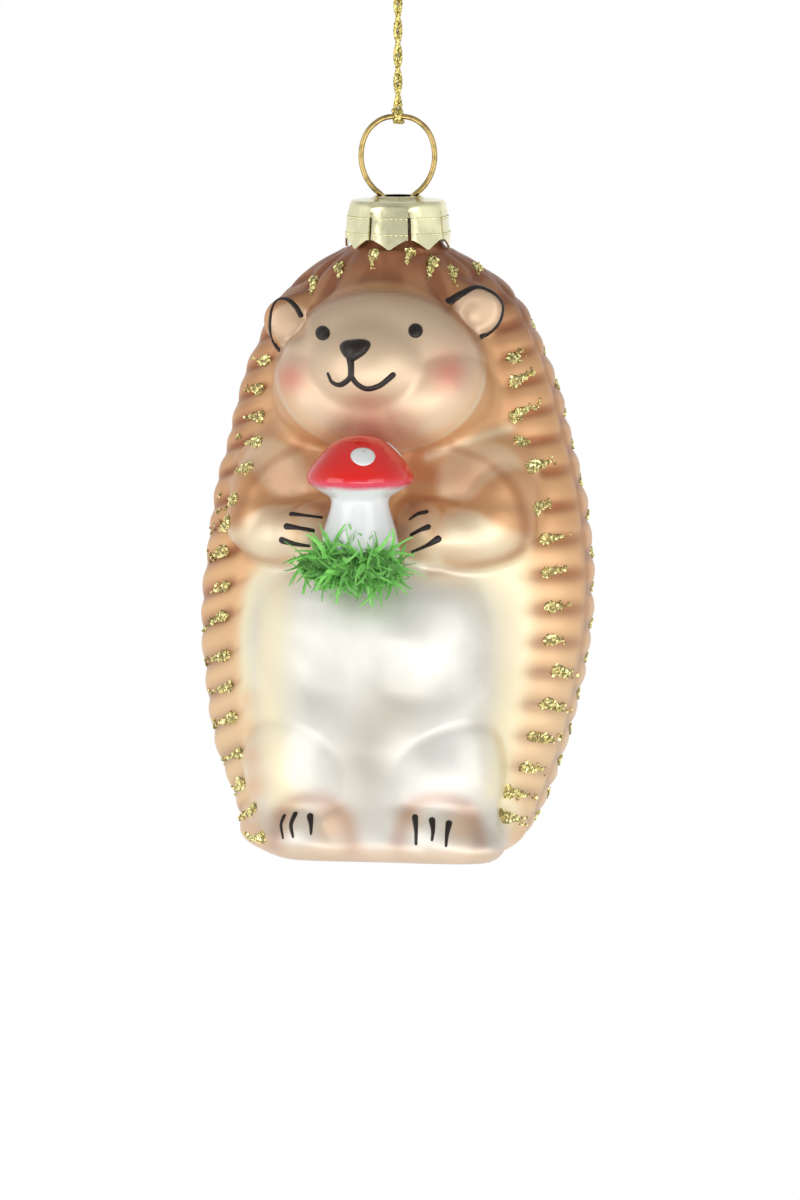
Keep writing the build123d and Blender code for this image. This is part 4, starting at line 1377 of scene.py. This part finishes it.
# Each line is its points, and its width in pixels at the start, the middle and the end
LINE_PIXELS = (
    (((328, 374), (332, 382), (339.5, 385), (347, 381), (351, 376)), (3.0, 4.4, 4.4)),
    (((351, 376), (357, 384), (367, 389), (379, 386), (388.5, 379), (393, 375)), (4.4, 4.8, 5.0)),
    (((350, 357), (351, 366), (351, 377)), (7.0, 5.6, 5.2)),
    (((300.6, 315), (295.6, 306.6), (287, 299), (278, 299.5), (272.5, 307), (270.0, 321), (270.5, 334),
      (274.5, 344), (279, 350)), (4.6, 2.6, 3.4)),
    (((449.4, 301.5), (463, 293), (476, 287), (488, 290), (498, 297), (503, 307.5), (500, 321),
      (492, 331), (481, 337)), (7.2, 4.2, 4.8)),
    (((291.6, 514), (305, 515.4), (321.7, 517.4)), (4.8, 2.8, 2.4)),
    (((286.4, 526.3), (299, 528), (313, 530.6)), (5.4, 3.2, 3.4)),
    (((282, 540.4), (295, 544), (308.8, 546)), (6.0, 4.0, 2.6)),
    (((426, 512), (418, 514), (410, 519)), (4.6, 3.8, 2.6)),
    (((428, 527), (420, 530), (411, 535)), (5.2, 3.4, 2.8)),
    (((438, 539), (426, 546), (412, 552)), (6.0, 3.0, 2.4)),
    (((284, 816), (281, 825), (283, 838)), (4.0, 3.0, 2.0)),
    (((295, 814), (291, 825), (293, 837)), (5.0, 3.6, 2.2)),
    (((310, 816), (311, 825), (311, 834)), (5.6, 3.4, 2.0)),
    (((415, 817), (416, 830), (416, 844)), (5.0, 3.4, 2.4)),
    (((432, 820), (433, 830), (432, 840)), (5.4, 3.4, 2.2)),
    (((449, 823), (447, 834), (446, 846)), (5.4, 3.4, 2.2)),
)
LINE_FULL = 1.25
LINE_STEPS = 6
NOSE_PIXELS = (
    (339.5, 346), (344, 341), (353, 339.5), (362, 339), (369, 341), (370.5, 346), (366, 353), (359, 358.5),
    (352, 362), (346.5, 359), (341.5, 353))
EYE_PIXELS = ((322.6, 333.0), (415.6, 330.6))
EYE_RADIUS = 7.4
EYE_RISE = 0.42
EYE_POINTS_ROUND = 28
NOSE_MIDDLE = (355, 349)
NOSE_RISE = 0.95
NOSE_POINTS_ROUND = 44


class ORNAMENT_OT_enamel(bpy.types.Operator):
    """Paints the eyes, the nose, the mouth and the other dark lines"""
    bl_idname = "ornament.enamel"
    bl_label = "Enamel Face"

    def execute(self, context):
        trim = context.scene.ornament.trim
        enamel = dark_enamel(trim)
        glass = Glass()
        lines = Beads()
        for pixels, widths in LINE_PIXELS:
            count = LINE_STEPS * len(pixels)
            line = smooth_line(pixels, count)
            spots = [glass.pixel(*pixel) for pixel in line]
            spread = np.interp(np.linspace(0, 2, count), (0, 1, 2), widths) * PIXEL * LINE_FULL
            lines.line([s[0] for s in spots], [s[1] for s in spots], spread, trim.enamel_rise / MM)
        add_piece("enamel_lines", lines.points, lines.faces, enamel, "figure")
        eyes = Beads()
        for x, y in EYE_PIXELS:
            place, normal = glass.pixel(x, y)
            outline = [
                glass.pixel(x + EYE_RADIUS * math.cos(t), y - EYE_RADIUS * math.sin(t))[0]
                for t in full_turn(EYE_POINTS_ROUND)]
            eyes.dome(outline, place, normal, EYE_RISE)
        add_piece("enamel_eyes", eyes.points, eyes.faces, enamel, "figure", ["eyes"])
        nose = Beads()
        route = smooth_line(NOSE_PIXELS, NOSE_POINTS_ROUND, True)[::-1]
        outline = [glass.pixel(*pixel)[0] for pixel in route]
        middle, normal = glass.pixel(*NOSE_MIDDLE)
        nose.dome(outline, middle, normal, NOSE_RISE)
        add_piece("enamel_nose", nose.points, nose.faces, enamel, "figure", ["nose"])
        return {"FINISHED"}


# Glitter


# A dab: reach of the head, of the tail and to each side, the part of the tail that is solid, and its taper
DAB_HEAD, DAB_TAIL, DAB_HALF = 1.05, 3.4, 1.1
DAB_SOLID = 0.72
DAB_TAPER = 0.6
DAB_POINTS = 18
DAB_WIDTHS, DAB_RISES, DAB_TAILS = (0.7, 1.2), (0.8, 1.2), (0.7, 1.15)
# Loose grains: how many, where along the dab and beside it, and their size
CRUMBS = 20
CRUMB_HEAD, CRUMB_TAIL, CRUMB_SPREAD = 1.1, 1.05, 0.38
CRUMB_RADII, CRUMB_SINK, CRUMB_RINGS, CRUMB_POINTS = (0.14, 0.3), 0.1, (1.0, 0.6), 6
# The columns beyond the first, with how much their dabs stray, and a place just beside a column's middle
DAB_COLUMNS = 4
DAB_DROP = 0.35
DAB_LOWEST, DAB_HIGHEST = 4.0, 83.0
DAB_LEVELS = 400
TURN_STRAY, HEIGHT_STRAY, TILT_STRAY = 0.02, 0.3, 0.12
BESIDE = 0.999
CROWN_SCALE = 0.85
# Share of the flakes that the back gets
BACK_FLAKES = 0.72
# Dabs on the flanks' first column, as pixels of the head and of the tail's end
RIGHT_DABS = (
    (513, 358, 522, 351), (515, 381, 533, 371), (515, 416, 541, 402), (519, 442, 553, 432), (531, 468, 562, 456),
    (537, 509, 563, 500), (546, 539, 571, 533), (547, 572, 569, 566), (551, 607, 571, 605), (550, 640, 567, 640),
    (557, 671, 578, 670), (546, 704, 573, 706), (533, 736, 564, 736), (525, 767, 546, 769), (508, 791, 537, 798),
    (503, 816, 526, 826))
LEFT_DABS = (
    (266, 361, 254, 360), (261, 390, 246, 387), (260, 417, 241, 415), (258, 442, 239, 440), (248, 468, 236, 472),
    (234, 500, 221, 508), (228, 521, 212, 531), (225, 551, 208, 557), (226, 587, 212, 592), (225, 616, 205, 627),
    (227, 655, 206, 662), (230, 687, 211, 693), (234, 718, 212, 724), (240, 753, 222, 760), (243, 783, 234, 792),
    (254, 809, 239, 818), (261, 838, 256, 846))
# Dabs on the crown, from the head above to the end of the tail
CROWN_DABS = (
    (314, 281, 315, 297), (339, 268, 340, 278), (374, 253, 371, 269), (410, 253, 406, 265), (433, 261, 427, 279),
    (453, 271, 450, 288), (478, 268, 474, 273))


class ORNAMENT_OT_glitter(bpy.types.Operator):
    """Dabs gold glitter on the quills"""
    bl_idname = "ornament.glitter"
    bl_label = "Gold Glitter"

    def execute(self, context):
        ornament = context.scene.ornament
        trim = ornament.trim
        self.glass = Glass()
        self.rise = trim.dab_rise / MM
        self.random = np.random.default_rng(trim.seed)
        groups = {name: Beads() for name in ("glitter_right", "glitter_left", "glitter_back", "glitter_crown")}
        figure = Figure(ornament.glass)
        levels = np.linspace(0, DAB_HIGHEST, DAB_LEVELS)
        for side, name, dabs in ((1, "glitter_right", RIGHT_DABS), (-1, "glitter_left", LEFT_DABS)):
            for pixels in dabs:
                self.dab_between(groups[name], pixels, 1.0)
            for column in range(1, DAB_COLUMNS if side < 0 else DAB_COLUMNS + 1):
                group = groups[name if column < 2 else "glitter_back"]
                middle = side * (QUILL_COLUMN + column * QUILL_COLUMN_STEP)
                rows = figure.rows(np.full(len(levels), middle * BESIDE), levels)[2]
                for row in range(1, int(rows[-1]) + 1):
                    angle = middle + self.stray(TURN_STRAY)
                    height = float(np.interp(row, rows, levels)) - DAB_DROP + self.stray(HEIGHT_STRAY)
                    if not DAB_LOWEST < height < DAB_HIGHEST:
                        continue
                    place, normal = self.glass.around(angle, height)
                    back = unit(np.cross((0, 0, 1), normal)) * side
                    lift = np.cross(normal, back) * side
                    level = 1 - smooth_step(*QUILL_BACK, abs(middle))
                    tilt = math.atan(figure.slope(middle, height) * level) + self.stray(TILT_STRAY)
                    long_tail = DAB_TAIL * self.random.uniform(*DAB_TAILS)
                    way = back * math.cos(tilt) + lift * math.sin(tilt)
                    self.dab(group, place, normal, way, 1.0, long_tail)
        for pixels in CROWN_DABS:
            self.dab_between(groups["glitter_crown"], pixels, CROWN_SCALE)
        gold = gold_glitter(trim)
        tree = flake_tree()
        for index, (name, beads) in enumerate(groups.items()):
            piece = add_piece(
                "gold_" + name, beads.points, beads.faces, gold, None, smooth=False,
                attributes={"upper": beads.upper})
            density = trim.flake_density * (BACK_FLAKES if name == "glitter_back" else 1)
            run_tree(piece, tree, {
                "Density": density / MM ** 2, "Radius": trim.flake, "Seed": trim.seed + index,
                "Material": gold})
            seat_piece(piece, "figure", [name])
        return {"FINISHED"}

    def dab_between(self, beads, pixels, scale):
        """A dab from the pixel of its head to the pixel where its tail ends."""
        place, normal = self.glass.pixel(*pixels[:2])
        tail = self.glass.pixel(*pixels[2:])[0]
        back = tail - place
        back = back - normal * (back @ normal)
        self.dab(beads, place, normal, unit(back), scale, float(np.linalg.norm(tail - place)))

    def stray(self, limit):
        return self.random.uniform(-limit, limit)

    def dab(self, beads, place, normal, back, scale, long_tail):
        """A lumpy drop with a round head and a tail that thins out."""
        across = np.cross(normal, back)
        outline = []
        for t in full_turn(DAB_POINTS):
            x, y = math.cos(t), math.sin(t)
            reach = DAB_SOLID * long_tail if x > 0 else DAB_HEAD * scale
            width = DAB_HALF * scale * (1 - DAB_TAPER * max(x, 0)) * self.random.uniform(*DAB_WIDTHS)
            spot = place + back * (x * reach) + across * (y * width)
            outline.append(self.glass.drop(spot))
        beads.dome(outline, self.glass.drop(place), normal, self.rise * self.random.uniform(*DAB_RISES))
        for _ in range(CRUMBS):
            along = self.random.uniform(-CRUMB_HEAD * DAB_HEAD, CRUMB_TAIL * long_tail)
            spot = place + back * along + across * self.random.normal(0, CRUMB_SPREAD) * DAB_HALF * scale
            self.crumb(beads, self.glass.drop(spot), normal, across)

    def crumb(self, beads, place, normal, across):
        """A loose grain beside a drop."""
        radius = self.random.uniform(*CRUMB_RADII)
        other = np.cross(normal, across)
        outline = [
            place + radius * (across * math.cos(t) + other * math.sin(t))
            for t in full_turn(CRUMB_POINTS)]
        beads.dome(outline, place, normal, radius, CRUMB_SINK, CRUMB_RINGS)


# Toadstool and grass


STOOL_PROFILE = (
    (4.6, 45.5), (5.8, 45.3), (5.9, 46.2), (5.8, 47.8), (5.5, 49.4), (5.0, 51.3), (4.5, 53.0), (4.3, 54.1),
    (4.42, 54.7), (4.9, 55.2), (6.6, 56.2), (7.6, 56.9), (8.0, 57.6), (7.95, 58.2), (7.6, 59.0), (7.0, 59.95),
    (6.2, 60.9), (5.3, 61.9), (4.3, 62.8), (3.1, 63.6), (1.8, 64.05), (0.6, 64.2))
STOOL_RIM = 57.4
STOOL_ROWS, STOOL_COLUMNS = 90, 96
SPOT_PIXEL = (363, 456)
SPOT_TILT = math.radians(48)
SPOT_RADII = (1.85, 1.75)
SPOT_RISE = 0.28
SPOT_COUNT, SPOT_POINTS = 3, 32
SPOT_WOBBLE, SPOT_LOBES = 0.04, 3
# How far off the cap the rays start that seat a spot's middle and its outline
SPOT_FAR, SPOT_NEAR = 20, 3
# The mound under the grass: half sizes, its place from the tuft's box, its grid and its lumps
TUFT_HALF = np.array((7.2, 3.8, 2.2))
TUFT_FORWARD, TUFT_LIFT = 0.9, 5.0
TUFT_COLUMNS, TUFT_ROWS = 40, 14
TUFT_LUMPS = ((0.1, 5, 2), (0.07, 9, -1))


class ORNAMENT_OT_toadstool(bpy.types.Operator):
    """Turns the toadstool and paints its spots"""
    bl_idname = "ornament.toadstool"
    bl_label = "Toadstool"

    def execute(self, context):
        stool = context.scene.ornament.toadstool
        low, high = (np.array(corner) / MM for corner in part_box("mushroom"))
        middle = (low[:2] + high[:2]) / 2
        outline = smooth_line(STOOL_PROFILE, STOOL_ROWS)
        profile = [(0, outline[0][1]), *map(tuple, outline), (0, outline[-1][1])]
        points, faces = turned(profile, STOOL_COLUMNS, middle)
        add_piece(
            "toadstool", points, faces, toadstool_lacquer(stool, STOOL_RIM), "figure",
            ["mushroom"])
        self.spots(stool, points, faces, middle)
        return {"FINISHED"}

    def spots(self, stool, points, faces, middle):
        """A spot in front and one to each side of the back, domed on the cap."""
        tree = BVHTree.FromPolygons([Vector(p) for p in points], faces)
        spots = Beads()
        core = np.array((*middle, STOOL_RIM))
        for index in range(SPOT_COUNT):
            turn = index * 2 * math.pi / SPOT_COUNT
            aim = np.array((
                math.sin(turn) * math.sin(SPOT_TILT), -math.cos(turn) * math.sin(SPOT_TILT),
                math.cos(SPOT_TILT)))
            start, along = (core + aim * SPOT_FAR, -aim) if index else pixel_ray(*SPOT_PIXEL)
            place, normal = ray_hit(tree, start, along)
            across = unit(np.cross((0, 0, 1), normal))
            rise = np.cross(normal, across)
            outline = []
            for t in full_turn(SPOT_POINTS):
                wobble = 1 + SPOT_WOBBLE * math.sin(SPOT_LOBES * t + index)
                spot = across * SPOT_RADII[0] * math.cos(t) + rise * SPOT_RADII[1] * math.sin(t)
                outline.append(ray_hit(tree, place + wobble * spot + normal * SPOT_NEAR, -normal)[0])
            spots.dome(outline, place, normal, SPOT_RISE)
        add_piece(
            "toadstool_spots", spots.points, spots.faces, spot_white(stool), "figure",
            ["mushroom_spots"])


class ORNAMENT_OT_grass(bpy.types.Operator):
    """Grows the tuft of shredded grass under the toadstool"""
    bl_idname = "ornament.grass"
    bl_label = "Grass Tuft"

    def execute(self, context):
        stool = context.scene.ornament.toadstool
        seed = context.scene.ornament.trim.seed
        low, high = (np.array(corner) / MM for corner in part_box("grass_tuft"))
        middle = (low + high) / 2
        centre = np.array((middle[0], middle[1] - TUFT_FORWARD, low[2] + TUFT_LIFT))
        points = []
        for i in range(1, TUFT_ROWS):
            lean = math.pi * i / TUFT_ROWS
            for turn in full_turn(TUFT_COLUMNS):
                lump = 1 + sum(
                    size * math.sin(lobes * turn + drift * lean) for size, lobes, drift in TUFT_LUMPS)
                spot = np.array((
                    math.cos(turn) * math.sin(lean), math.sin(turn) * math.sin(lean), -math.cos(lean)))
                points.append(centre + TUFT_HALF * spot * lump)
        points += [centre - (0, 0, TUFT_HALF[2]), centre + (0, 0, TUFT_HALF[2])]
        fibre = grass_fibre(stool)
        tuft = add_piece(
            "shredded_grass", points, capped_faces(TUFT_ROWS - 1, TUFT_COLUMNS), fibre, None, smooth=False)
        area = sum(face.area for face in tuft.data.polygons)
        run_tree(tuft, blade_tree(), {
            "Density": stool.blades / area, "Length": stool.blade, "Width": stool.blade_width, "Seed": seed,
            "Material": fibre})
        seat_piece(tuft, "figure", ["grass_tuft"])
        return {"FINISHED"}


# Cap and fittings


CAP_TABS = 8
CAP_TAB_COLUMNS = 36
CAP_COLUMNS = CAP_TABS * CAP_TAB_COLUMNS
CAP_SKIRT_ROWS = 20
CAP_TOP = 97.8
CAP_RIM = ((3.3, 98.32), (3.45, 98.4), (3.65, 98.34), (3.9, 98.14), (4.15, 97.9), (4.5, 97.82), (5.6, 97.78),
           (6.6, 97.74), (6.95, 97.62), (7.17, 97.3))
CAP_TIP, CAP_NOTCH, CAP_SLIT = 90.7, 92.1, 96.3
# How much lower the columns beside a slit are cut
CAP_SLIT_STEP = 0.9
# A tab's point: the share of it that is blunt, the share that slopes, and how round the slope is
CAP_BLUNT, CAP_SLOPE, CAP_SLOPE_ROUND = 0.08, 0.72, 0.85
CAP_SKIRT_TOP, CAP_SKIRT_FOOT = 7.2, 8.0
# How flat the tabs are, over how many rows that starts, and how their edges flare
CAP_FLAT, CAP_FLAT_ROWS, CAP_FLAT_SIZE = 0.4, 5, 1.01
CAP_FLARE, CAP_FLARE_EDGE, CAP_FLARE_DEPTH = 0.16, 10, 3
CAP_SHARP = math.radians(50)
CAP_THICKNESS = 0.3
CAP_TURN = math.radians(-18.3)
DOT_ROWS = (95.3, 92.9)
DOT_COUNT = 60
DOT_REACH = 0.9


class ORNAMENT_OT_cap(bpy.types.Operator):
    """Stamps the crown cap with its tabs, slits and embossed dots"""
    bl_idname = "ornament.cap"
    bl_label = "Crown Cap"

    def execute(self, context):
        fittings = context.scene.ornament.fittings
        gold = stamped_gold(fittings)
        top = CAP_RIM[-1][1]
        points = [self.spot(j, height, radius) for radius, height in CAP_RIM for j in range(CAP_COLUMNS)]
        for i in range(1, CAP_SKIRT_ROWS + 1):
            for j in range(CAP_COLUMNS):
                height = top + (self.foot(j) - top) * i / CAP_SKIRT_ROWS
                points.append(self.spot(j, height, flat=CAP_FLAT * min(i / CAP_FLAT_ROWS, 1)))
        grid = grid_faces(len(CAP_RIM) + CAP_SKIRT_ROWS, CAP_COLUMNS)
        faces = [face[::-1] for face in grid if not self.in_slit(face, points)]
        cap = add_piece("crown_cap", points, faces, gold, None)
        wall = cap.modifiers.new("wall", "SOLIDIFY")
        wall.thickness = CAP_THICKNESS * MM
        wall.offset = -1
        bake(cap)
        cap.data.set_sharp_from_angle(angle=CAP_SHARP)
        seat_piece(cap, "cap", ["cap"])
        self.dots(fittings, gold)
        return {"FINISHED"}

    def local(self, column):
        """Where a column stands in its tab, from -1 at one slit to 1 at the next."""
        return 2 * ((column % CAP_TAB_COLUMNS) + 0.5) / CAP_TAB_COLUMNS - 1

    def foot(self, column):
        """The tab's lower edge: a blunt point in the middle, drawn up towards the slits."""
        off = abs(self.local(column))
        slope = min(max(off - CAP_BLUNT, 0) / CAP_SLOPE, 1)
        return CAP_TIP + (CAP_NOTCH - CAP_TIP) * slope ** CAP_SLOPE_ROUND

    def skirt(self, height):
        """The skirt's radius at a height."""
        share = (CAP_TOP - height) / (CAP_TOP - CAP_TIP)
        return CAP_SKIRT_TOP + (CAP_SKIRT_FOOT - CAP_SKIRT_TOP) * share

    def spot(self, column, height, radius=None, flat=CAP_FLAT):
        """A point of the rim at a radius, or else of the skirt, where tabs are as flat as the last value says."""
        half = math.pi / CAP_TABS
        turn = CAP_TURN + (column + 0.5) * 2 * math.pi / CAP_COLUMNS
        if radius is None:
            across = self.local(column)
            plane = (0.5 + 0.5 * math.cos(half)) / math.cos(across * half) * CAP_FLAT_SIZE
            flare = abs(across) ** CAP_FLARE_EDGE * min((CAP_TOP - height) / CAP_FLARE_DEPTH, 1)
            radius = self.skirt(height) * (1 - flat + flat * plane) + CAP_FLARE * flare
        return (radius * math.cos(turn), radius * math.sin(turn), height)

    def in_slit(self, face, points):
        """Whether a face lies in the slit between two tabs."""
        first = min(index % CAP_TAB_COLUMNS for index in face)
        last = max(index % CAP_TAB_COLUMNS for index in face)
        height = sum(points[index][2] for index in face) / len(face)
        middle = last - first > 1
        beside = first == 0 or last == CAP_TAB_COLUMNS - 1
        return height < CAP_SLIT and (middle or beside and height < CAP_SLIT - CAP_SLIT_STEP)

    def dots(self, fittings, gold):
        columns = [int(i * CAP_COLUMNS / DOT_COUNT) for i in range(DOT_COUNT)]
        points = [
            self.spot(column, height) for height in DOT_ROWS for column in columns
            if abs(self.local(column)) < DOT_REACH]
        dots = add_piece("cap_dots", points, [], gold, None)
        run_tree(dots, dot_tree(), {"Radius": fittings.dot, "Material": gold})
        dots.data.polygons.foreach_set("use_smooth", [True] * len(dots.data.polygons))
        seat_piece(dots, "cap")


WIRE_POINTS = 160
# Half of the wire from a leg's foot to the top of the ring, as (reach, height)
WIRE_HALF = (
    (4.2, 84.6), (3.5, 88.2), (2.55, 93.6), (2.05, 97.0), (2.35, 98.3), (3.55, 99.4), (4.6, 100.8), (5.3, 102.6),
    (5.5, 104.6), (5.1, 106.8), (4.05, 108.6), (2.25, 109.9), (0, 110.25))


class ORNAMENT_OT_fittings(bpy.types.Operator):
    """Bends the hanger wire, and finishes the dab of glue as it comes from the frame"""
    bl_idname = "ornament.fittings"
    bl_label = "Wire and Glue"

    def execute(self, context):
        fittings = context.scene.ornament.fittings
        half = [(-x, z) for x, z in WIRE_HALF[:-1]]
        route = np.array(half + list(WIRE_HALF[::-1]))
        line = smooth_line(route, WIRE_POINTS)
        path = ring_plane(np.stack((line[:, 0], 0 * line[:, 0], line[:, 1]), -1))
        points, faces = plied_tube(path, fittings.wire / MM / 2, plies=0)
        add_piece("hanger_ring", points, faces, brass_wire(fittings), "hanger", ["hanger_wire"])
        mesh = NODES["glue_pad"].data
        mesh.materials.clear()
        mesh.materials.append(clear_glue())
        return {"FINISHED"}


# Stage


# Soft boxes: name, place and size in metres, and power in watts
LAMPS = (
    ("left_box", (-0.34, -0.40, 0.03), (0.34, 0.60), 1.14),
    ("right_box", (0.40, -0.36, 0.03), (0.34, 0.60), 1.07),
    ("low_box", (0.10, -0.42, -0.12), (0.40, 0.16), 0.85))
LAMP_AIM = Vector((0, 0, 0.05))
# The room's light: how much less comes from the front and from above, and from where on
ROOM_FRONT, ROOM_FRONT_FROM = 0.28, (0.35, 0.95)
ROOM_ABOVE, ROOM_ABOVE_FROM = 0.42, (0.1, 0.8)
# The share of it that falls on matt surfaces
ROOM_MATT = 0.5
FLOOR_HALF, FLOOR_LEVEL = 2.5, -0.16
WHITE = (1, 1, 1, 1)


class ORNAMENT_OT_stage(bpy.types.Operator):
    """Sets the camera, the soft lights, the white background and the floor"""
    bl_idname = "ornament.stage"
    bl_label = "Studio Stage"

    def execute(self, context):
        scene = context.scene
        scene.view_settings.view_transform = "Standard"
        self.camera(scene)
        self.world(scene)
        self.floor(scene)
        for lamp in LAMPS:
            self.light(scene, *lamp)
        return {"FINISHED"}

    def camera(self, scene):
        data = bpy.data.cameras.new("camera")
        data.sensor_width = SENSOR
        data.lens = SENSOR * DISTANCE / (PICTURE[1] * PIXEL)
        data.clip_start = 0.01
        right, up, back = view_axes()
        camera = bpy.data.objects.new("camera", data)
        scene.collection.objects.link(camera)
        turn = Matrix(np.stack((right, up, back), 1).tolist()).to_4x4()
        camera.matrix_world = Matrix.Translation((TARGET + back * DISTANCE) * MM) @ turn
        scene.camera = camera

    def world(self, scene):
        world = bpy.data.worlds.new("studio")
        world.use_nodes = True
        scene.world = world
        graph = Graph(world.node_tree)
        rays, seen = camera_rays(graph)
        around = graph.node("ShaderNodeTexCoord", output="Generated")
        way = graph.node("ShaderNodeSeparateXYZ", None, {0: around})
        front = graph.step(*ROOM_FRONT_FROM, -1 * way.out("Y"))
        above = graph.step(*ROOM_ABOVE_FROM, way.out("Z"))
        room = 1 - ROOM_FRONT * front - ROOM_ABOVE * above
        background = world.node_tree.nodes["Background"]
        graph.feed(background.inputs["Color"], WHITE)
        shine = ROOM_MATT + (1 - ROOM_MATT) * rays.out("Is Glossy Ray")
        graph.feed(background.inputs["Strength"], seen + (1 - seen) * room * shine)

    def floor(self, scene):
        finish = Finish("pale_floor")
        rays, seen = camera_rays(finish)
        seen = seen.math("MAXIMUM", seen, rays.out("Is Glossy Ray"))
        glow = finish.node("ShaderNodeEmission", None, {"Color": WHITE, "Strength": 1.0})
        tone = finish.mix(finish.noise(30, 2.0), *FLOOR_TINTS)
        finish.set(base=tone, roughness=0.8)
        plain = Sock(finish, finish.shader.outputs[0])
        both = finish.node("ShaderNodeMixShader", None, {0: seen, 1: plain, 2: glow})
        finish.feed(finish.tree.nodes["Material Output"].inputs["Surface"], both)
        mesh = bpy.data.meshes.new("floor")
        corners = [(x * FLOOR_HALF, y * FLOOR_HALF, FLOOR_LEVEL) for x, y in ((-1, -1), (1, -1), (1, 1), (-1, 1))]
        mesh.from_pydata(corners, [], [(0, 1, 2, 3)])
        mesh.materials.append(finish.material)
        floor = bpy.data.objects.new("floor", mesh)
        scene.collection.objects.link(floor)

    def light(self, scene, name, place, size, power):
        data = bpy.data.lights.new(name, "AREA")
        data.shape = "RECTANGLE"
        data.size, data.size_y = size
        data.energy = power
        lamp = bpy.data.objects.new(name, data)
        lamp.location = place
        aim = LAMP_AIM - Vector(place)
        lamp.rotation_euler = aim.to_track_quat("-Z", "Y").to_euler()
        scene.collection.objects.link(lamp)


class ORNAMENT_PT_panel(bpy.types.Panel):
    """Lists the ornament's settings and steps"""
    bl_idname = "ORNAMENT_PT_panel"
    bl_label = "Hanging Hedgehog Ornament"
    bl_space_type = "VIEW_3D"
    bl_region_type = "UI"
    bl_category = "Ornament"

    def draw(self, context):
        for group in ("glass", "trim", "toadstool", "fittings"):
            box = self.layout.box()
            settings = getattr(context.scene.ornament, group)
            for key in settings.bl_rna.properties.keys():
                if key not in ("rna_type", "name"):
                    box.prop(settings, key)
        for operator in STEPS:
            self.layout.operator(operator.bl_idname)


STEPS = (
    ORNAMENT_OT_stage, ORNAMENT_OT_thread, ORNAMENT_OT_glass, ORNAMENT_OT_enamel, ORNAMENT_OT_glitter,
    ORNAMENT_OT_toadstool, ORNAMENT_OT_grass, ORNAMENT_OT_cap, ORNAMENT_OT_fittings)
CLASSES = (
    GlassSettings, TrimSettings, ToadstoolSettings, FittingSettings, OrnamentSettings, *STEPS, ORNAMENT_PT_panel)


def register():
    for item in CLASSES:
        bpy.utils.register_class(item)
    bpy.types.Scene.ornament = PointerProperty(type=OrnamentSettings)


def unregister():
    del bpy.types.Scene.ornament
    for item in reversed(CLASSES):
        bpy.utils.unregister_class(item)


def main():
    register()
    for step in STEPS:
        getattr(bpy.ops.ornament, step.bl_idname.split(".")[1])()


if __name__ == "__main__":
    main()
